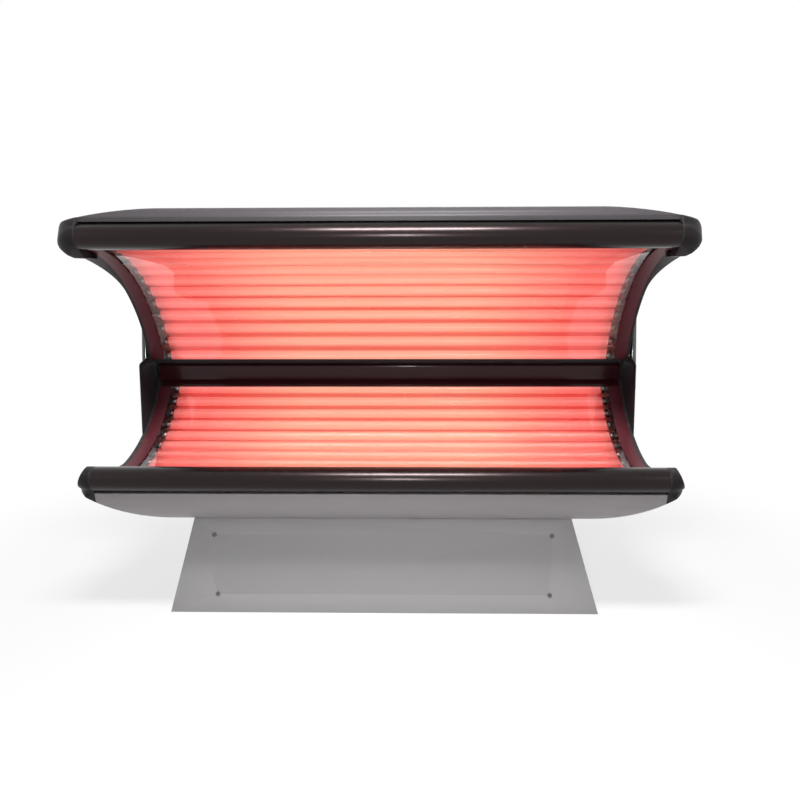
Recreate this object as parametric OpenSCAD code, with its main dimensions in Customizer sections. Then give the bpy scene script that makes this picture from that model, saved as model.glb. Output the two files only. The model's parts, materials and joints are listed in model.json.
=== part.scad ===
// Clamshell light therapy bed: a lying bench on a pedestal and a canopy hinged along its rear.
// X runs along the bed, -Y is the open front, Z is up, and the origin is on the floor
// under the middle of the pedestal. The canopy is drawn raised.

/* [Overall] */
// Length of the front and rear rails between the end caps
rail_len = 1892; // [1700:2:2100]
// How far the end caps' front corners are rounded out past the rail ends
horn_reach = 83; // [78:1:86]
// Angle that the raised canopy swings down to close
close_angle = 38; // [30:1:40]

/* [Bench] */
// Height of the lowest point of the lying surface above the floor
lie_height = 515; // [480:1:560]
// Radius of the lying surface
bench_r = 575; // [540:1:610]
// Height of the lying surface's rear edge above its lowest line
rear_edge_rise = 251.8; // [245:0.2:258]
// Thickness of the bench acrylic
bench_acrylic_t = 5; // [4:0.5:8]
// Distance of the lying surface's rear edge in front of the hinge axis
rear_edge_in = 37.4; // [32:0.2:42]
// Height of the bench pan's flat bottom above the floor
pan_z = 372; // [350:1:380]
// Distance of the pan's front and rear walls from the pedestal's middle
pan_half_y = 345; // [335:1:352]
// Radius of the pan's rounded front and rear bottom edges
pan_edge_r = 140; // [110:1:150]
// Radius of the pan's underside where it rises to the ends
pan_end_r = 640; // [600:1:680]
// Half-length of the flat part of the pan's bottom
pan_flat_half = 620; // [610:1:640]
// Sheet thickness of the pan and rear cover
pan_t = 2; // [1.5:0.5:3]

/* [Canopy] */
// Radius of the canopy's inner surface
canopy_r = 565; // [545:1:585]
// Thickness of the canopy acrylic
canopy_acrylic_t = 3; // [3:0.5:5]
// Angle of the canopy's rear edge above the horizontal, when raised
canopy_rear_a = 13.4; // [13:0.1:14.4]
// Depth from the canopy's inner surface to the outside of its shell
canopy_depth = 122; // [116:1:132]
// Thickness of the canopy shell
shell_t = 3; // [2:0.5:4]
// Radius of the shell's rolled front edge
shell_front_r = 35; // [28:1:38]
// Radius over which the shell's top falls away to the ends
crown_r = 1500; // [1400:10:2000]
// Half-length of the level part of the shell's top
crown_half = 645; // [610:5:665]

/* [Rails] */
// Radius of the bullnose rails
rail_r = 42; // [38:1:44]
// Wall thickness of the rails
rail_t = 4; // [3:0.5:5]
// Distance from a rail's centre back to its flat rear wall
rail_back = 26; // [22:1:30]
// Height of the bench front rail's centre above the floor
bench_rail_z = 541; // [539:1:545]
// Distance of the bench front rail's centre behind the pan's front wall
bench_rail_in = 19; // [17:1:21]
// Distance of the canopy front rail's centre outside the canopy's inner surface
canopy_rail_out = 31; // [30:1:33]
// Angle of the canopy front rail's centre above the horizontal, when raised
canopy_rail_a = 84.5; // [84:0.1:85]
// Height of the rear rail
rear_rail_h = 66; // [60:1:68]
// Depth of the rear rail
rear_rail_d = 28; // [24:1:28]

/* [Lamps] */
// Number of lamps in the bench and in the canopy
lamp_count = 12; // [8:1:12]
// Distance of the last bench lamp from the acrylic's front edge, along the arc
last_lamp_in = 37.2; // [36:0.2:40]
// Angle from one canopy lamp to the next
canopy_lamp_step = 5.85; // [5.5:0.05:5.9]
// Radius of a lamp tube
lamp_r = 19; // [16:0.5:20]
// Length of a lamp between the ends of its metal caps
lamp_len = 1764; // [1500:1:1764]
// Length of a lamp's metal end cap
lamp_cap_len = 14; // [10:1:20]
// Clearance between the acrylic and the lamps
lamp_gap = 5; // [4:0.5:7]
// Clearance between the lamps and the reflector
reflector_gap = 7; // [5:0.5:9]
// Thickness of the reflector sheet
reflector_t = 1.5; // [1:0.5:2]
// Depth of a lampholder along the lamp
holder_depth = 21; // [18:1:24]
// Width of a lampholder
holder_w = 34; // [28:1:40]

/* [Ends] */
// Width of the end trim bands that cover the lampholders
trim_w = 48; // [40:1:52]
// Thickness of the end trim bands
trim_t = 2.6; // [2:0.1:3]
// Distance from a rail end to the outside of the bench end cap's rear part
bench_cap_out = 13; // [13:0.5:14]
// Distance from a rail end to the outside of the canopy end cap's rear part
canopy_cap_out = 10; // [9.5:0.1:10]
// Distance from a rail end to the bench end cap's top corner
bench_corner_out = 28; // [20:1:34]
// Distance from a rail end to the bench end cap's furthest point
bench_tip_out = 61; // [50:1:66]
// Height of the bench end caps' rear wings above the hinge axis
wing_rise = 60; // [52:1:64]
// Distance behind the front rail over which the bench cap widens
bench_flare = 250; // [200:5:300]
// Distance behind the front rail over which the canopy cap widens
canopy_flare = 364; // [340:2:390]
// Wall thickness of the end caps
cap_t = 2.5; // [2:0.1:3]
// Thickness of the steel end plates
plate_t = 4; // [3:0.5:4]
// Overlap of the acrylic sheets behind the end trim bands
acrylic_under = 22; // [16:1:30]

/* [Hinge] */
// Distance of the hinge axis in front of the pan's rear wall
hinge_in = 27; // [25:1:29]
// Height of the hinge axis above the floor
hinge_z = 830; // [828:1:834]
// Distance from the hinge axis forward to the canopy's rear inner edge
canopy_edge_y = 103.6; // [102:0.1:110]
// Height of the canopy's rear inner edge above the hinge axis
canopy_edge_z = 35.2; // [34:0.1:48]
// Radius of the hinge pin
hinge_pin_r = 8; // [6:0.5:10]
// Radial running clearance of the hinge pin
hinge_play = 0.05; // [0.02:0.01:0.1]
// Radius of the hinge plates round the pin
hinge_lug_r = 24; // [20:1:26]
// Thickness of the canopy's hinge arms
arm_t = 5; // [4:0.5:5]
// Width of the canopy's hinge arms
arm_w = 34; // [28:1:36]

/* [Struts] */
// Distance of the gas struts beyond the rail ends
strut_out = 29; // [28:0.5:32]
// Forward distance of the upper strut stud from the hinge axis
strut_top_y = 71; // [66:1:76]
// Height of the upper strut stud above the hinge axis
strut_top_z = 241; // [230:1:250]
// Forward distance of the lower strut stud from the hinge axis
strut_low_y = 150; // [142:1:158]
// Height of the lower strut stud above the floor
strut_low_z = 545; // [530:1:560]
// Radius of the strut cylinder
strut_r = 13; // [11:0.5:13]
// Wall thickness of the strut cylinder
strut_wall = 1.5; // [1:0.25:2.5]
// Length of the strut cylinder from the upper stud to its gland
strut_cyl_len = 313; // [290:1:330]
// Radius of the strut rod
strut_rod_r = 7; // [5:0.5:7.5]
// Radius of the strut studs
strut_stud_r = 4.2; // [3.5:0.1:5]
// Play of the cylinder's end socket round the upper stud
strut_socket_play = 5.4; // [5:0.1:6]
// Thickness of the strut's end fittings
strut_eye_t = 15; // [14.5:0.5:16]

/* [Pedestal] */
// Depth of the pedestal from front to rear
ped_depth = 410; // [380:2:420]
// Width of the pedestal at the floor
ped_foot_w = 1554; // [1500:2:1600]
// Width of the pedestal under the pan
ped_top_w = 1328; // [1300:2:1340]
// Thickness of the pedestal's sheet panels
panel_t = 1.5; // [1:0.25:2]
// Side of the pedestal's square frame tubes
post_w = 30; // [25:1:40]
// Distance of the posts and panel screws from the middle
post_x = 600; // [560:1:620]
// Height of the lower panel screws above the floor
screw_low_z = 73; // [60:1:90]
// Height of the upper panel screws above the floor
screw_high_z = 299; // [280:1:310]
// Radius of the panel screw heads
screw_head_r = 8; // [5:0.5:9]
// Radius of the mains cable passage through the gland
gland_bore_r = 6.5; // [5:0.5:8]

/* [Fans and gear] */
// Side of a cooling fan's square frame
fan_w = 119; // [92:1:119]
// Depth of a cooling fan
fan_t = 25; // [25:1:32]
// Radius of the opening through a fan frame
fan_bore_r = 56; // [43:1:57]
// Distance of the fans from the middle of the bed
fan_x = 400; // [350:1:450]
// Number of blades on a fan rotor
fan_blades = 7; // [5:1:9]
// Number of ballasts in the bench and in the canopy
ballast_count = 6; // [4:1:6]
// Length of a ballast
ballast_l = 190; // [150:1:230]
// Width of a ballast
ballast_w = 60; // [45:1:70]
// Height of a ballast
ballast_h = 38; // [30:1:40]
// Width of the bench's longitudinal beams
beam_w = 40; // [30:1:50]
// Height of the bench's longitudinal beams
beam_h = 40; // [30:1:44]
// Distance of the beams from the middle of the pedestal
beam_y = 150; // [140:1:155]

/* [Hidden] */

// Facets of large arcs and of small round features
arc_fn = 240;
round_fn = 48;
// Gap between pieces that are seated on each other along curves, and inside the canopy's shell
seat = 0.3;
shell_seat = 0.6;
// A length larger than the bed, for cutting shapes
far = 3000;

// Hinge axis, and the angle of the lying surface's rear edge below the horizontal
hinge_y = pan_half_y - hinge_in;
bench_rear_a = asin(1 - rear_edge_rise / bench_r);

// Lengths along the bed
rail_half = rail_len / 2;
cap_x = rail_half + seat;
tip_x = rail_half + horn_reach;
plate_x = rail_half - plate_t;
trim_x = rail_half - trim_w;
acrylic_half = trim_x + acrylic_under;
lamp_half = lamp_len / 2;
glass_half = lamp_half - lamp_cap_len;
holder_x = lamp_half + 2;
holder_plate_x = holder_x + holder_depth;
holder_plate_t = 2;
reflector_half = holder_plate_x - seat;

// Layers through the bench, measured from its axis
bench_y = hinge_y - rear_edge_in - bench_r * cos(bench_rear_a);
bench_z = lie_height + bench_r;
bench_back_r = bench_r + bench_acrylic_t;
bench_lamp_r = bench_back_r + lamp_gap + lamp_r;
bench_reflector_r = bench_lamp_r + lamp_r + reflector_gap;
bench_rib_r = bench_reflector_r + reflector_t + seat;
bench_trim_r = bench_r - seat - trim_t;

// Layers through the canopy, measured from its axis
canopy_y = hinge_y - canopy_edge_y - canopy_r * cos(canopy_rear_a);
canopy_z = hinge_z + canopy_edge_z - canopy_r * sin(canopy_rear_a);
canopy_back_r = canopy_r + canopy_acrylic_t;
canopy_lamp_r = canopy_back_r + lamp_gap + lamp_r;
canopy_reflector_r = canopy_lamp_r + lamp_r + reflector_gap;
canopy_rib_r = canopy_reflector_r + reflector_t + seat;
canopy_out_r = canopy_r + canopy_depth;
canopy_in_r = canopy_out_r - shell_t;
canopy_trim_r = canopy_r - seat - trim_t;

// Front rails
bench_rail = [bench_rail_in - pan_half_y, bench_rail_z];
bench_wall_y = bench_rail[0] + rail_back;
canopy_rail = [canopy_y + (canopy_r + canopy_rail_out) * cos(canopy_rail_a),
    canopy_z + (canopy_r + canopy_rail_out) * sin(canopy_rail_a)];
canopy_wall_y = canopy_rail[0] + rail_back;
acrylic_edge_gap = 1;
lip_t = 2.5;
lip_gap = 0.4;
lip_depth = 1.4;

// Angles of the acrylic sheets' edges
bench_front_a = -180 + acos((bench_y - bench_wall_y - acrylic_edge_gap) / bench_back_r);
bench_lip_a = -180 + acos((bench_y - bench_wall_y + rail_t / 2) / bench_back_r);
canopy_front_a = acos((canopy_wall_y + acrylic_edge_gap - canopy_y) / canopy_r);
canopy_lip_a = acos((canopy_wall_y - rail_t / 2 - canopy_y) / canopy_back_r);

// Rear rail and its lip over the acrylic's edge
rear_edge = [bench_y + bench_r * cos(bench_rear_a), bench_z - bench_r * sin(bench_rear_a)];
rear_rail_y = rear_edge[0] - 18;
rear_rail_z = rear_edge[1] + 22;
rear_foot = 14;
rear_lip_z = rear_rail_z + 4 + pan_t;
rear_lip_y = rear_rail_y + rear_rail_d;

// Rolled front edge of the shell
roll_a = 82.9;
roll = [canopy_y + (canopy_out_r - shell_front_r) * cos(roll_a),
    canopy_z + (canopy_out_r - shell_front_r) * sin(roll_a)];
canopy_crest_z = roll[1] + shell_front_r;
crown_z = canopy_crest_z + 1;

// First lamps, counted from the rear
bench_lamp_a = -bench_rear_a - 1;
bench_last_a = bench_front_a + last_lamp_in / bench_lamp_r * 180 / PI;
bench_lamp_step = (bench_lamp_a - bench_last_a) / (lamp_count - 1);
canopy_lamp_a = canopy_rear_a + 2.2;
canopy_end_a = canopy_rear_a + 0.3;

// Ears of the bench end caps round the hinge
ear_r = hinge_lug_r + 7;
bench_plate_top = rear_lip_z - pan_t - seat;

// Strut line
strut_top = [hinge_y - strut_top_y, hinge_z + strut_top_z];
strut_low = [hinge_y - strut_low_y, strut_low_z];
strut_len = norm(strut_top - strut_low);
strut_a = atan2(strut_top[1] - strut_low[1], strut_top[0] - strut_low[0]);
strut_x = rail_half + strut_out;
strut_eye_r = strut_rod_r + 5;
strut_hole_r = strut_stud_r + strut_socket_play;
strut_top_eye_r = strut_hole_r + 4;
strut_collar_r = 9;
strut_bore_r = strut_r - strut_wall;
gland_t = 12;
piston_len = 14;

// Pedestal
ped_half_y = ped_depth / 2;
ped_inner_y = ped_half_y - panel_t;
base_t = 2;
panel_top = pan_z - seat;
side_tilt = atan((ped_foot_w - ped_top_w) / 2 / pan_z);

// Sheet-metal details
slot_w = 70;
slot_h = 6;
rib_t = 3;
beam_wall = 2.5;
rib_places = [-600, -200, 200, 600];

// A profile in Y and Z, drawn out along the bed from x0 to x1
module along(x0, x1) {
    translate([x0, 0, 0]) rotate([90, 0, 90]) linear_extrude(x1 - x0) children();
}

// The same pieces at both ends of the bed
module both_ends() {
    children();
    mirror([1, 0, 0]) children();
}

// Part of a ring about the centre c, between two radii and two angles
module ring_part(c, r0, r1, a0, a1) {
    reach = 2 * r1;
    mid = (a0 + a1) / 2;
    translate(c) intersection() {
        difference() {
            circle(r1, $fn = arc_fn);
            circle(r0, $fn = arc_fn);
        }
        polygon([[0, 0], reach * [cos(a0), sin(a0)], reach * [cos(mid), sin(mid)],
            reach * [cos(a1), sin(a1)]]);
    }
}

// The bench and canopy centres and a place on their arcs
bench_c = [bench_y, bench_z];
canopy_c = [canopy_y, canopy_z];
function on_arc(c, r, a) = [c[0] + r * cos(a), c[1] + r * sin(a)];

// Outline of the bench's body in Y and Z, set in by d, up to a height
module bench_outline(d, top) {
    edge_z = pan_z + pan_edge_r;
    edge_y = pan_half_y - pan_edge_r;
    intersection() {
        union() {
            for (s = [-1, 1]) translate([s * edge_y, edge_z]) circle(pan_edge_r - d, $fn = arc_fn);
            translate([-edge_y, pan_z + d]) square([2 * edge_y, far]);
            translate([-pan_half_y + d, edge_z]) square([2 * (pan_half_y - d), far]);
        }
        translate([-far, 0]) square([2 * far, top]);
    }
}

// The pan's underside in X and Z, set in by d, drawn out across the bed
module hull_prism(d) {
    arc_z = pan_z + pan_end_r;
    rotate([90, 0, 0]) translate([0, 0, -far / 2]) linear_extrude(far) {
        for (s = [-1, 1]) translate([s * pan_flat_half, arc_z]) circle(pan_end_r - d, $fn = arc_fn);
        translate([-pan_flat_half, pan_z + d]) square([2 * pan_flat_half, far]);
    }
}

// The canopy's top in X and Z, set in by d, drawn out across the bed
module crown_prism(d) {
    top = crown_z;
    rotate([90, 0, 0]) translate([0, 0, -far / 2]) linear_extrude(far) {
        for (s = [-1, 1]) intersection() {
            translate([s * crown_half, top - crown_r]) circle(crown_r - d, $fn = 4 * arc_fn);
            translate([-far / 2, canopy_z]) square([far, far]);
        }
        translate([-crown_half, canopy_z]) square([2 * crown_half, top - d - canopy_z]);
        translate([-far / 2, -far]) square([far, far + canopy_z + 1]);
    }
}

// Bullnose outline of a front rail, set in by d
module rail_outline(d) {
    intersection() {
        circle(rail_r - d, $fn = 96);
        translate([-rail_r, -rail_r]) square([rail_r + rail_back - d, 2 * rail_r]);
    }
}

// Hollow front rail about its centre c
module rail_section(c) {
    translate(c) difference() {
        rail_outline(0);
        rail_outline(rail_t);
    }
}

// Widening of an end cap behind the front rail, from 0 to 1
function ease(t) = t * t * (3 - 2 * t);
function flare_share(q, start, full) = ease(min(1, max(0, (start - q) / (start - full))));

// Outline of a right end cap seen from above, with q the distance behind the rail's centre
module cap_plan(base, start, full, d) {
    steps = 24;
    q_tip = rail_r - 8;
    out = [for (i = [0:steps]) let (q = q_tip + (start - q_tip) * i / steps)
        [rail_half + base + (horn_reach - base) * flare_share(q, start, full) - d, q]];
    polygon(concat([[0, q_tip]], out, [[rail_half + base - d, far / 2], [0, far / 2]]));
}

// Rounded front corner of an end cap: the rail's bullnose turned about an upright axis
horn_core = horn_reach - rail_r;
module horn_tip(d) {
    rotate_extrude($fn = 96) {
        translate([horn_core, 0]) intersection() {
            circle(rail_r - d, $fn = 96);
            translate([-horn_core, -rail_r]) square([far, 2 * rail_r]);
        }
        translate([0, -rail_r + d]) square([horn_core, 2 * (rail_r - d)]);
        children();
    }
}

// Places the horn tip with its rail centre line at c
module place_horn(c, tilt) {
    translate([rail_half, c[0], c[1]]) rotate([-tilt, 0, 0])
        translate([0, horn_reach - rail_r, 0]) children();
}

// Two circles and the belt round them
module belt(c0, r0, c1, r1) {
    span = c1 - c0;
    base = atan2(span[1], span[0]);
    spread = acos((r0 - r1) / norm(span));
    translate(c0) circle(r0, $fn = 96);
    translate(c1) circle(r1, $fn = 96);
    polygon([for (p = [[c0, r0, 1], [c0, r0, -1], [c1, r1, -1], [c1, r1, 1]])
        p[0] + p[1] * [cos(base + p[2] * spread), sin(base + p[2] * spread)]]);
}

// Keeps the part of its children beyond the rail ends
module beyond(x) {
    intersection() {
        children();
        translate([x, -far / 2, 0]) cube([far, far, far]);
    }
}

// Side outline of the wing that rises behind the lying surface past the hinge
module bench_wing() {
    top = hinge_z + wing_rise;
    rear = pan_half_y - 1;
    corner = 40;
    front = strut_low[0] - 79;
    polygon([[front, bench_rail_z], [front + 25, top - 26], [front + 32, top - 18], [front + 107, top],
        [rear - corner, top], [rear, top - corner], [rear, bench_rail_z]]);
    translate([rear - corner, top - corner]) circle(corner, $fn = round_fn);
}

// Side outline of a bench end cap, set in by d
module bench_cap_side(d) {
    difference() {
        intersection() {
            bench_outline(d, rear_lip_z - d);
            polygon([[-far, 0], [-far, bench_rail_z], [bench_wall_y, bench_rail_z],
                [bench_wall_y, rear_lip_z], [far, rear_lip_z], [far, 0]]);
        }
        translate(bench_c) circle(bench_trim_r + d, $fn = arc_fn);
    }
    difference() {
        union() {
            translate([hinge_y, hinge_z]) circle(ear_r - d, $fn = round_fn);
            translate([rear_rail_y + d, rear_edge[1]])
                square([hinge_y - rear_rail_y, hinge_z - 2 - d - rear_edge[1]]);
            translate([hinge_y - 1, rear_edge[1]])
                square([pan_half_y - d - hinge_y + 1, hinge_z - 2 - d - rear_edge[1]]);
        }
        translate(bench_c) circle(bench_trim_r + d, $fn = arc_fn);
    }
    translate(bench_rail) rail_outline(d);
}

// Space inside the bench cap's slanted end face, set in by d
module bench_end_face(d) {
    low = bench_rail_z - 0.8 * rail_r;
    top = bench_rail_z + rail_r;
    out = rail_half - d;
    rotate([90, 0, 0]) translate([0, 0, -far / 2]) linear_extrude(far)
        polygon([[0, 0], [out + bench_tip_out - 5, 0], [out + bench_tip_out - 5, low - 20],
            [out + bench_tip_out, low - 8], [out + bench_tip_out, low], [out + bench_corner_out, top],
            [out + bench_corner_out, far], [0, far]]);
}

// Solid bench end cap at the right, set in by d
module bench_cap_solid(d) {
    intersection() {
        along(rail_half, tip_x) bench_cap_side(d);
        bench_end_face(d);
        translate([0, bench_rail[0], 0]) linear_extrude(far) cap_plan(bench_cap_out, bench_flare, 60, d);
        hull_prism(d);
    }
    column_r = bench_tip_out + 4;
    intersection() {
        place_horn(bench_rail, 0) horn_tip(d)
            translate([0, pan_z - bench_rail_z]) square([column_r - d, bench_rail_z - pan_z - rail_r / 2]);
        bench_end_face(d);
        union() {
            along(0, far) bench_outline(d, bench_rail_z);
            along(0, far) translate(bench_rail) rail_outline(d);
        }
        hull_prism(d);
    }
}

module bench_end_cap() {
    color([0.13, 0.11, 0.12]) difference() {
        union() {
            difference() {
                beyond(cap_x) bench_cap_solid(0);
                translate([-0.01, 0, 0]) beyond(rail_half - 1) bench_cap_solid(cap_t);
            }
            along(rail_half + bench_cap_out - cap_t, rail_half + bench_cap_out) bench_wing();
        }
        // Way for the hinge arm above the pin
        translate([rail_half - 1, rear_rail_y + cap_t, rear_lip_z])
            cube([bench_cap_out - cap_t + 1, far, far]);
        // Hole for the lower strut stud
        along(rail_half, far) translate(strut_low) circle(strut_collar_r + seat, $fn = round_fn);
    }
}

// Side outline of a canopy end cap, set in by d
module canopy_cap_side(d) {
    ring_part(canopy_c, canopy_trim_r + d, canopy_out_r - d, canopy_rear_a + d / 10, roll_a);
    belt(canopy_rail, rail_r - d, roll, shell_front_r - d);
    polygon([[roll[0] - shell_front_r + d, roll[1]], [roll[0] - shell_front_r + d, canopy_rail[1]],
        on_arc(canopy_c, canopy_trim_r + d, roll_a - 1),
        on_arc(canopy_c, canopy_out_r - shell_front_r, roll_a - 2)]);
}

// Space inside the canopy's outer surface, rounded down towards the end, set in by d
module canopy_round(d) {
    core = canopy_out_r - horn_reach;
    translate([rail_half, canopy_y, canopy_z]) rotate([0, 90, 0]) rotate_extrude($fn = arc_fn) {
        intersection() {
            translate([core, 0]) circle(horn_reach - d, $fn = 96);
            translate([0, -1]) square([far, far]);
        }
        translate([0, -1]) square([core, horn_reach - d + 1]);
    }
}

// Space inside the canopy cap's rounded nose as seen from the front, set in by d
module canopy_nose(d) {
    out = tip_x - d;
    z = canopy_rail[1];
    over = crown_z - pow(rail_half - crown_half, 2) / 2 / crown_r + 2;
    rotate([90, 0, 0]) translate([0, 0, -far / 2]) linear_extrude(far)
        polygon([[0, far], [rail_half - 2, far], [rail_half - 2, over - d], [out - 52, z + 60 - d],
            [out - 30, z + 50 - d], [out - 16, z + 39 - d], [out - 7, z + 28 - d], [out - 1, z + 15],
            [out, z + 5], [out - 2, z - 8], [out - 7, z - 20], [out - 14, z - 32], [out - 16, z - 42],
            [out - 12, z - 60], [out, z - 76], [out, -far], [0, -far]]);
}

// Space over the canopy cap's rising underside at the corner, set in by d
module canopy_chin(d) {
    out = tip_x - d;
    z = canopy_rail[1] + d;
    rotate([90, 0, 0]) translate([0, 0, -far / 2]) linear_extrude(far)
        polygon([[0, far], [out + 2, far], [out + 2, z - 7], [out - 6, z - 21], [out - 17, z - 38],
            [out - 34, z - 57], [out - 50, z - 66], [0, z - 68]]);
}

// Solid canopy end cap at the right, set in by d
module canopy_cap_solid(d) {
    // The shell's rolled edge, seen from the rail's centre with the canopy closed
    step = roll - canopy_rail;
    roll_q = step[0] * cos(close_angle) - step[1] * sin(close_angle);
    roll_h = step[0] * sin(close_angle) + step[1] * cos(close_angle);
    intersection() {
        union() {
            intersection() {
                along(rail_half, tip_x) canopy_cap_side(d);
                translate([0, canopy_rail[0], canopy_rail[1]]) rotate([-close_angle, 0, 0])
                    translate([0, 0, -far / 2]) linear_extrude(far)
                        cap_plan(canopy_cap_out, canopy_flare, 0, d);
            }
            intersection() {
                place_horn(canopy_rail, close_angle) horn_tip(d) intersection() {
                    belt([horn_core, 0], rail_r - d, [horn_core - roll_q, roll_h], shell_front_r - d);
                    square([far, far]);
                }
                canopy_chin(d);
            }
            // Body between the horn's axis and the shell's rolled edge
            place_horn(canopy_rail, close_angle) cylinder(h = roll_h + shell_front_r - d,
                r = horn_core - roll_q, $fn = 96);
        }
        canopy_round(d);
        canopy_nose(d);
        crown_prism(d);
        union() {
            along(0, far) canopy_cap_side(d);
            place_horn(canopy_rail, close_angle) horn_tip(d);
        }
    }
}

module canopy_end_cap() {
    color([0.12, 0.11, 0.12]) difference() {
        beyond(cap_x) canopy_cap_solid(0);
        difference() {
            beyond(rail_half - 1) canopy_cap_solid(cap_t);
            // Inner wall behind the rail's end
            translate([rail_half - 2, canopy_rail[0] - far + 60, 0]) cube([cap_t + seat + 2, far, far]);
        }
        // Way for the hinge arm at the rear edge
        along(rail_half - 1, rail_half + canopy_cap_out - cap_t - seat)
            ring_part(canopy_c, canopy_rib_r, canopy_in_r, canopy_rear_a - 2, canopy_rear_a + 2);
        // Hole for the upper strut stud
        along(rail_half, far) translate(strut_top) circle(strut_collar_r + seat, $fn = round_fn);
    }
}

module bench_end_cap_left() { mirror([1, 0, 0]) bench_end_cap(); }
module bench_end_cap_right() { bench_end_cap(); }
module canopy_end_cap_left() { mirror([1, 0, 0]) canopy_end_cap(); }
module canopy_end_cap_right() { canopy_end_cap(); }

// Angled trim band over the lampholders at the right, between the radii r0 and r1
module trim_band(c, r0, r1, a0, a1) {
    color([0.2, 0.09, 0.1]) difference() {
        along(trim_x, rail_half) ring_part(c, r0, r1, a0, a1);
        along(trim_x - 1, rail_half - trim_t) ring_part(c, r0 + trim_t, r1 + 1, a0 - 2, a1 + 2);
    }
}

module bench_end_trim() {
    trim_band(bench_c, bench_trim_r, bench_back_r, bench_front_a + lip_depth + 0.1,
        -bench_rear_a - lip_depth + 0.3);
}

module canopy_end_trim() {
    trim_band(canopy_c, canopy_trim_r, canopy_back_r, canopy_rear_a + lip_depth + 0.1,
        canopy_front_a - lip_depth - 0.1);
}

module bench_end_trim_left() { mirror([1, 0, 0]) bench_end_trim(); }
module bench_end_trim_right() { bench_end_trim(); }
module canopy_end_trim_left() { mirror([1, 0, 0]) canopy_end_trim(); }
module canopy_end_trim_right() { canopy_end_trim(); }

// Front rails with the two lips that hold the acrylic's edge
module bench_front_rail() {
    color([0.17, 0.14, 0.14]) along(-rail_half, rail_half) {
        rail_section(bench_rail);
        difference() {
            union() {
                ring_part(bench_c, bench_r - lip_gap - lip_t, bench_r - lip_gap, bench_lip_a,
                    bench_front_a + lip_depth);
                ring_part(bench_c, bench_back_r + lip_gap, bench_back_r + lip_gap + lip_t, bench_lip_a,
                    bench_front_a + lip_depth);
            }
            translate([bench_wall_y - far - rail_t / 2, 0]) square([far, far]);
        }
        // Foot that stands on the pan's front flange
        translate([bench_wall_y - rail_t, bench_flange_z])
            square([rail_t, bench_rail_z - bench_flange_z]);
    }
}

module canopy_front_rail() {
    color([0.17, 0.14, 0.14]) along(-rail_half, rail_half) {
        rail_section(canopy_rail);
        difference() {
            union() {
                ring_part(canopy_c, canopy_r - lip_gap - lip_t, canopy_r - lip_gap,
                    canopy_front_a - lip_depth, canopy_lip_a);
                ring_part(canopy_c, canopy_back_r + lip_gap, canopy_back_r + lip_gap + lip_t,
                    canopy_front_a - lip_depth, canopy_lip_a);
            }
            translate([canopy_wall_y - far - rail_t / 2, 0]) square([far, far]);
        }
        // Rear wall from under the acrylic's edge up to the shell's front flange
        translate([canopy_wall_y - rail_t, canopy_wall_z])
            square([rail_t, canopy_flange_z - canopy_wall_z]);
    }
}

// Flanges of the pan and shell that carry the front rails
flange_t = 3;
groove = 6;
canopy_wall_z = canopy_z + sqrt(pow(canopy_r - lip_gap - lip_t, 2) - pow(canopy_wall_y - canopy_y, 2));
bench_flange_z = bench_rail_z - rail_r - groove + 3;
canopy_flange_z = canopy_rail[1] + rail_r + groove - 3;

// Outline of the rear rail with its rounded top front edge, set in by d
rear_round_r = 14;
upstand_rise = 32;
module rear_rail_outline(d) {
    top = rear_rail_z + rear_rail_h;
    translate([rear_rail_y + rear_round_r, top - rear_round_r]) circle(rear_round_r - d, $fn = round_fn);
    translate([rear_rail_y + rear_round_r, rear_rail_z + d])
        square([rear_rail_d - rear_round_r - d, rear_rail_h - 2 * d]);
    translate([rear_rail_y + d, rear_rail_z + d])
        square([rear_rail_d - 2 * d, rear_rail_h - rear_round_r - d]);
}

// Rear rail: a hollow bar with lips over the acrylic's rear edge
module bench_rear_rail() {
    lip_a0 = -bench_rear_a - lip_depth + 0.4;
    lip_a1 = -bench_rear_a + 4.1;
    color([0.06, 0.05, 0.06]) along(-plate_x + seat, plate_x - seat) {
        difference() {
            rear_rail_outline(0);
            rear_rail_outline(3);
        }
        translate([rear_rail_y, rear_rail_z]) square([rear_rail_d + rear_foot, 4]);
        // Upstand that closes the view under the raised canopy
        translate([rear_rail_y + rear_rail_d - 5, rear_rail_z + rear_rail_h - 1])
            square([5, hinge_z + upstand_rise - rear_rail_z - rear_rail_h + 1]);
        intersection() {
            union() {
                ring_part(bench_c, bench_r - lip_gap - lip_t, bench_r - lip_gap, lip_a0, lip_a1);
                ring_part(bench_c, bench_back_r + lip_gap, bench_back_r + lip_gap + lip_t, lip_a0, lip_a1);
            }
            translate([rear_rail_y, 0]) square([rear_rail_d + rear_foot, rear_rail_z + 2]);
        }
    }
}

module bench_acrylic() {
    color([1, 0.72, 0.66, 0.4]) along(-acrylic_half, acrylic_half)
        ring_part(bench_c, bench_r, bench_back_r, bench_front_a, -bench_rear_a);
}

module canopy_acrylic() {
    color([1, 0.72, 0.66, 0.4]) along(-acrylic_half, acrylic_half)
        ring_part(canopy_c, canopy_r, canopy_back_r, canopy_rear_a + 0.6, canopy_front_a);
}

module bench_reflector() {
    color([0.86, 0.6, 0.58]) along(-reflector_half, reflector_half)
        ring_part(bench_c, bench_reflector_r, bench_reflector_r + reflector_t, bench_lamp_a + 1.5,
            bench_lamp_a - bench_lamp_step * (lamp_count - 1) - 1);
}

module canopy_reflector() {
    color([0.86, 0.6, 0.58]) along(-reflector_half, reflector_half)
        ring_part(canopy_c, canopy_reflector_r, canopy_reflector_r + reflector_t, canopy_end_a + 0.5,
            canopy_lamp_a + canopy_lamp_step * (lamp_count - 1) + 1.5);
}

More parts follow.
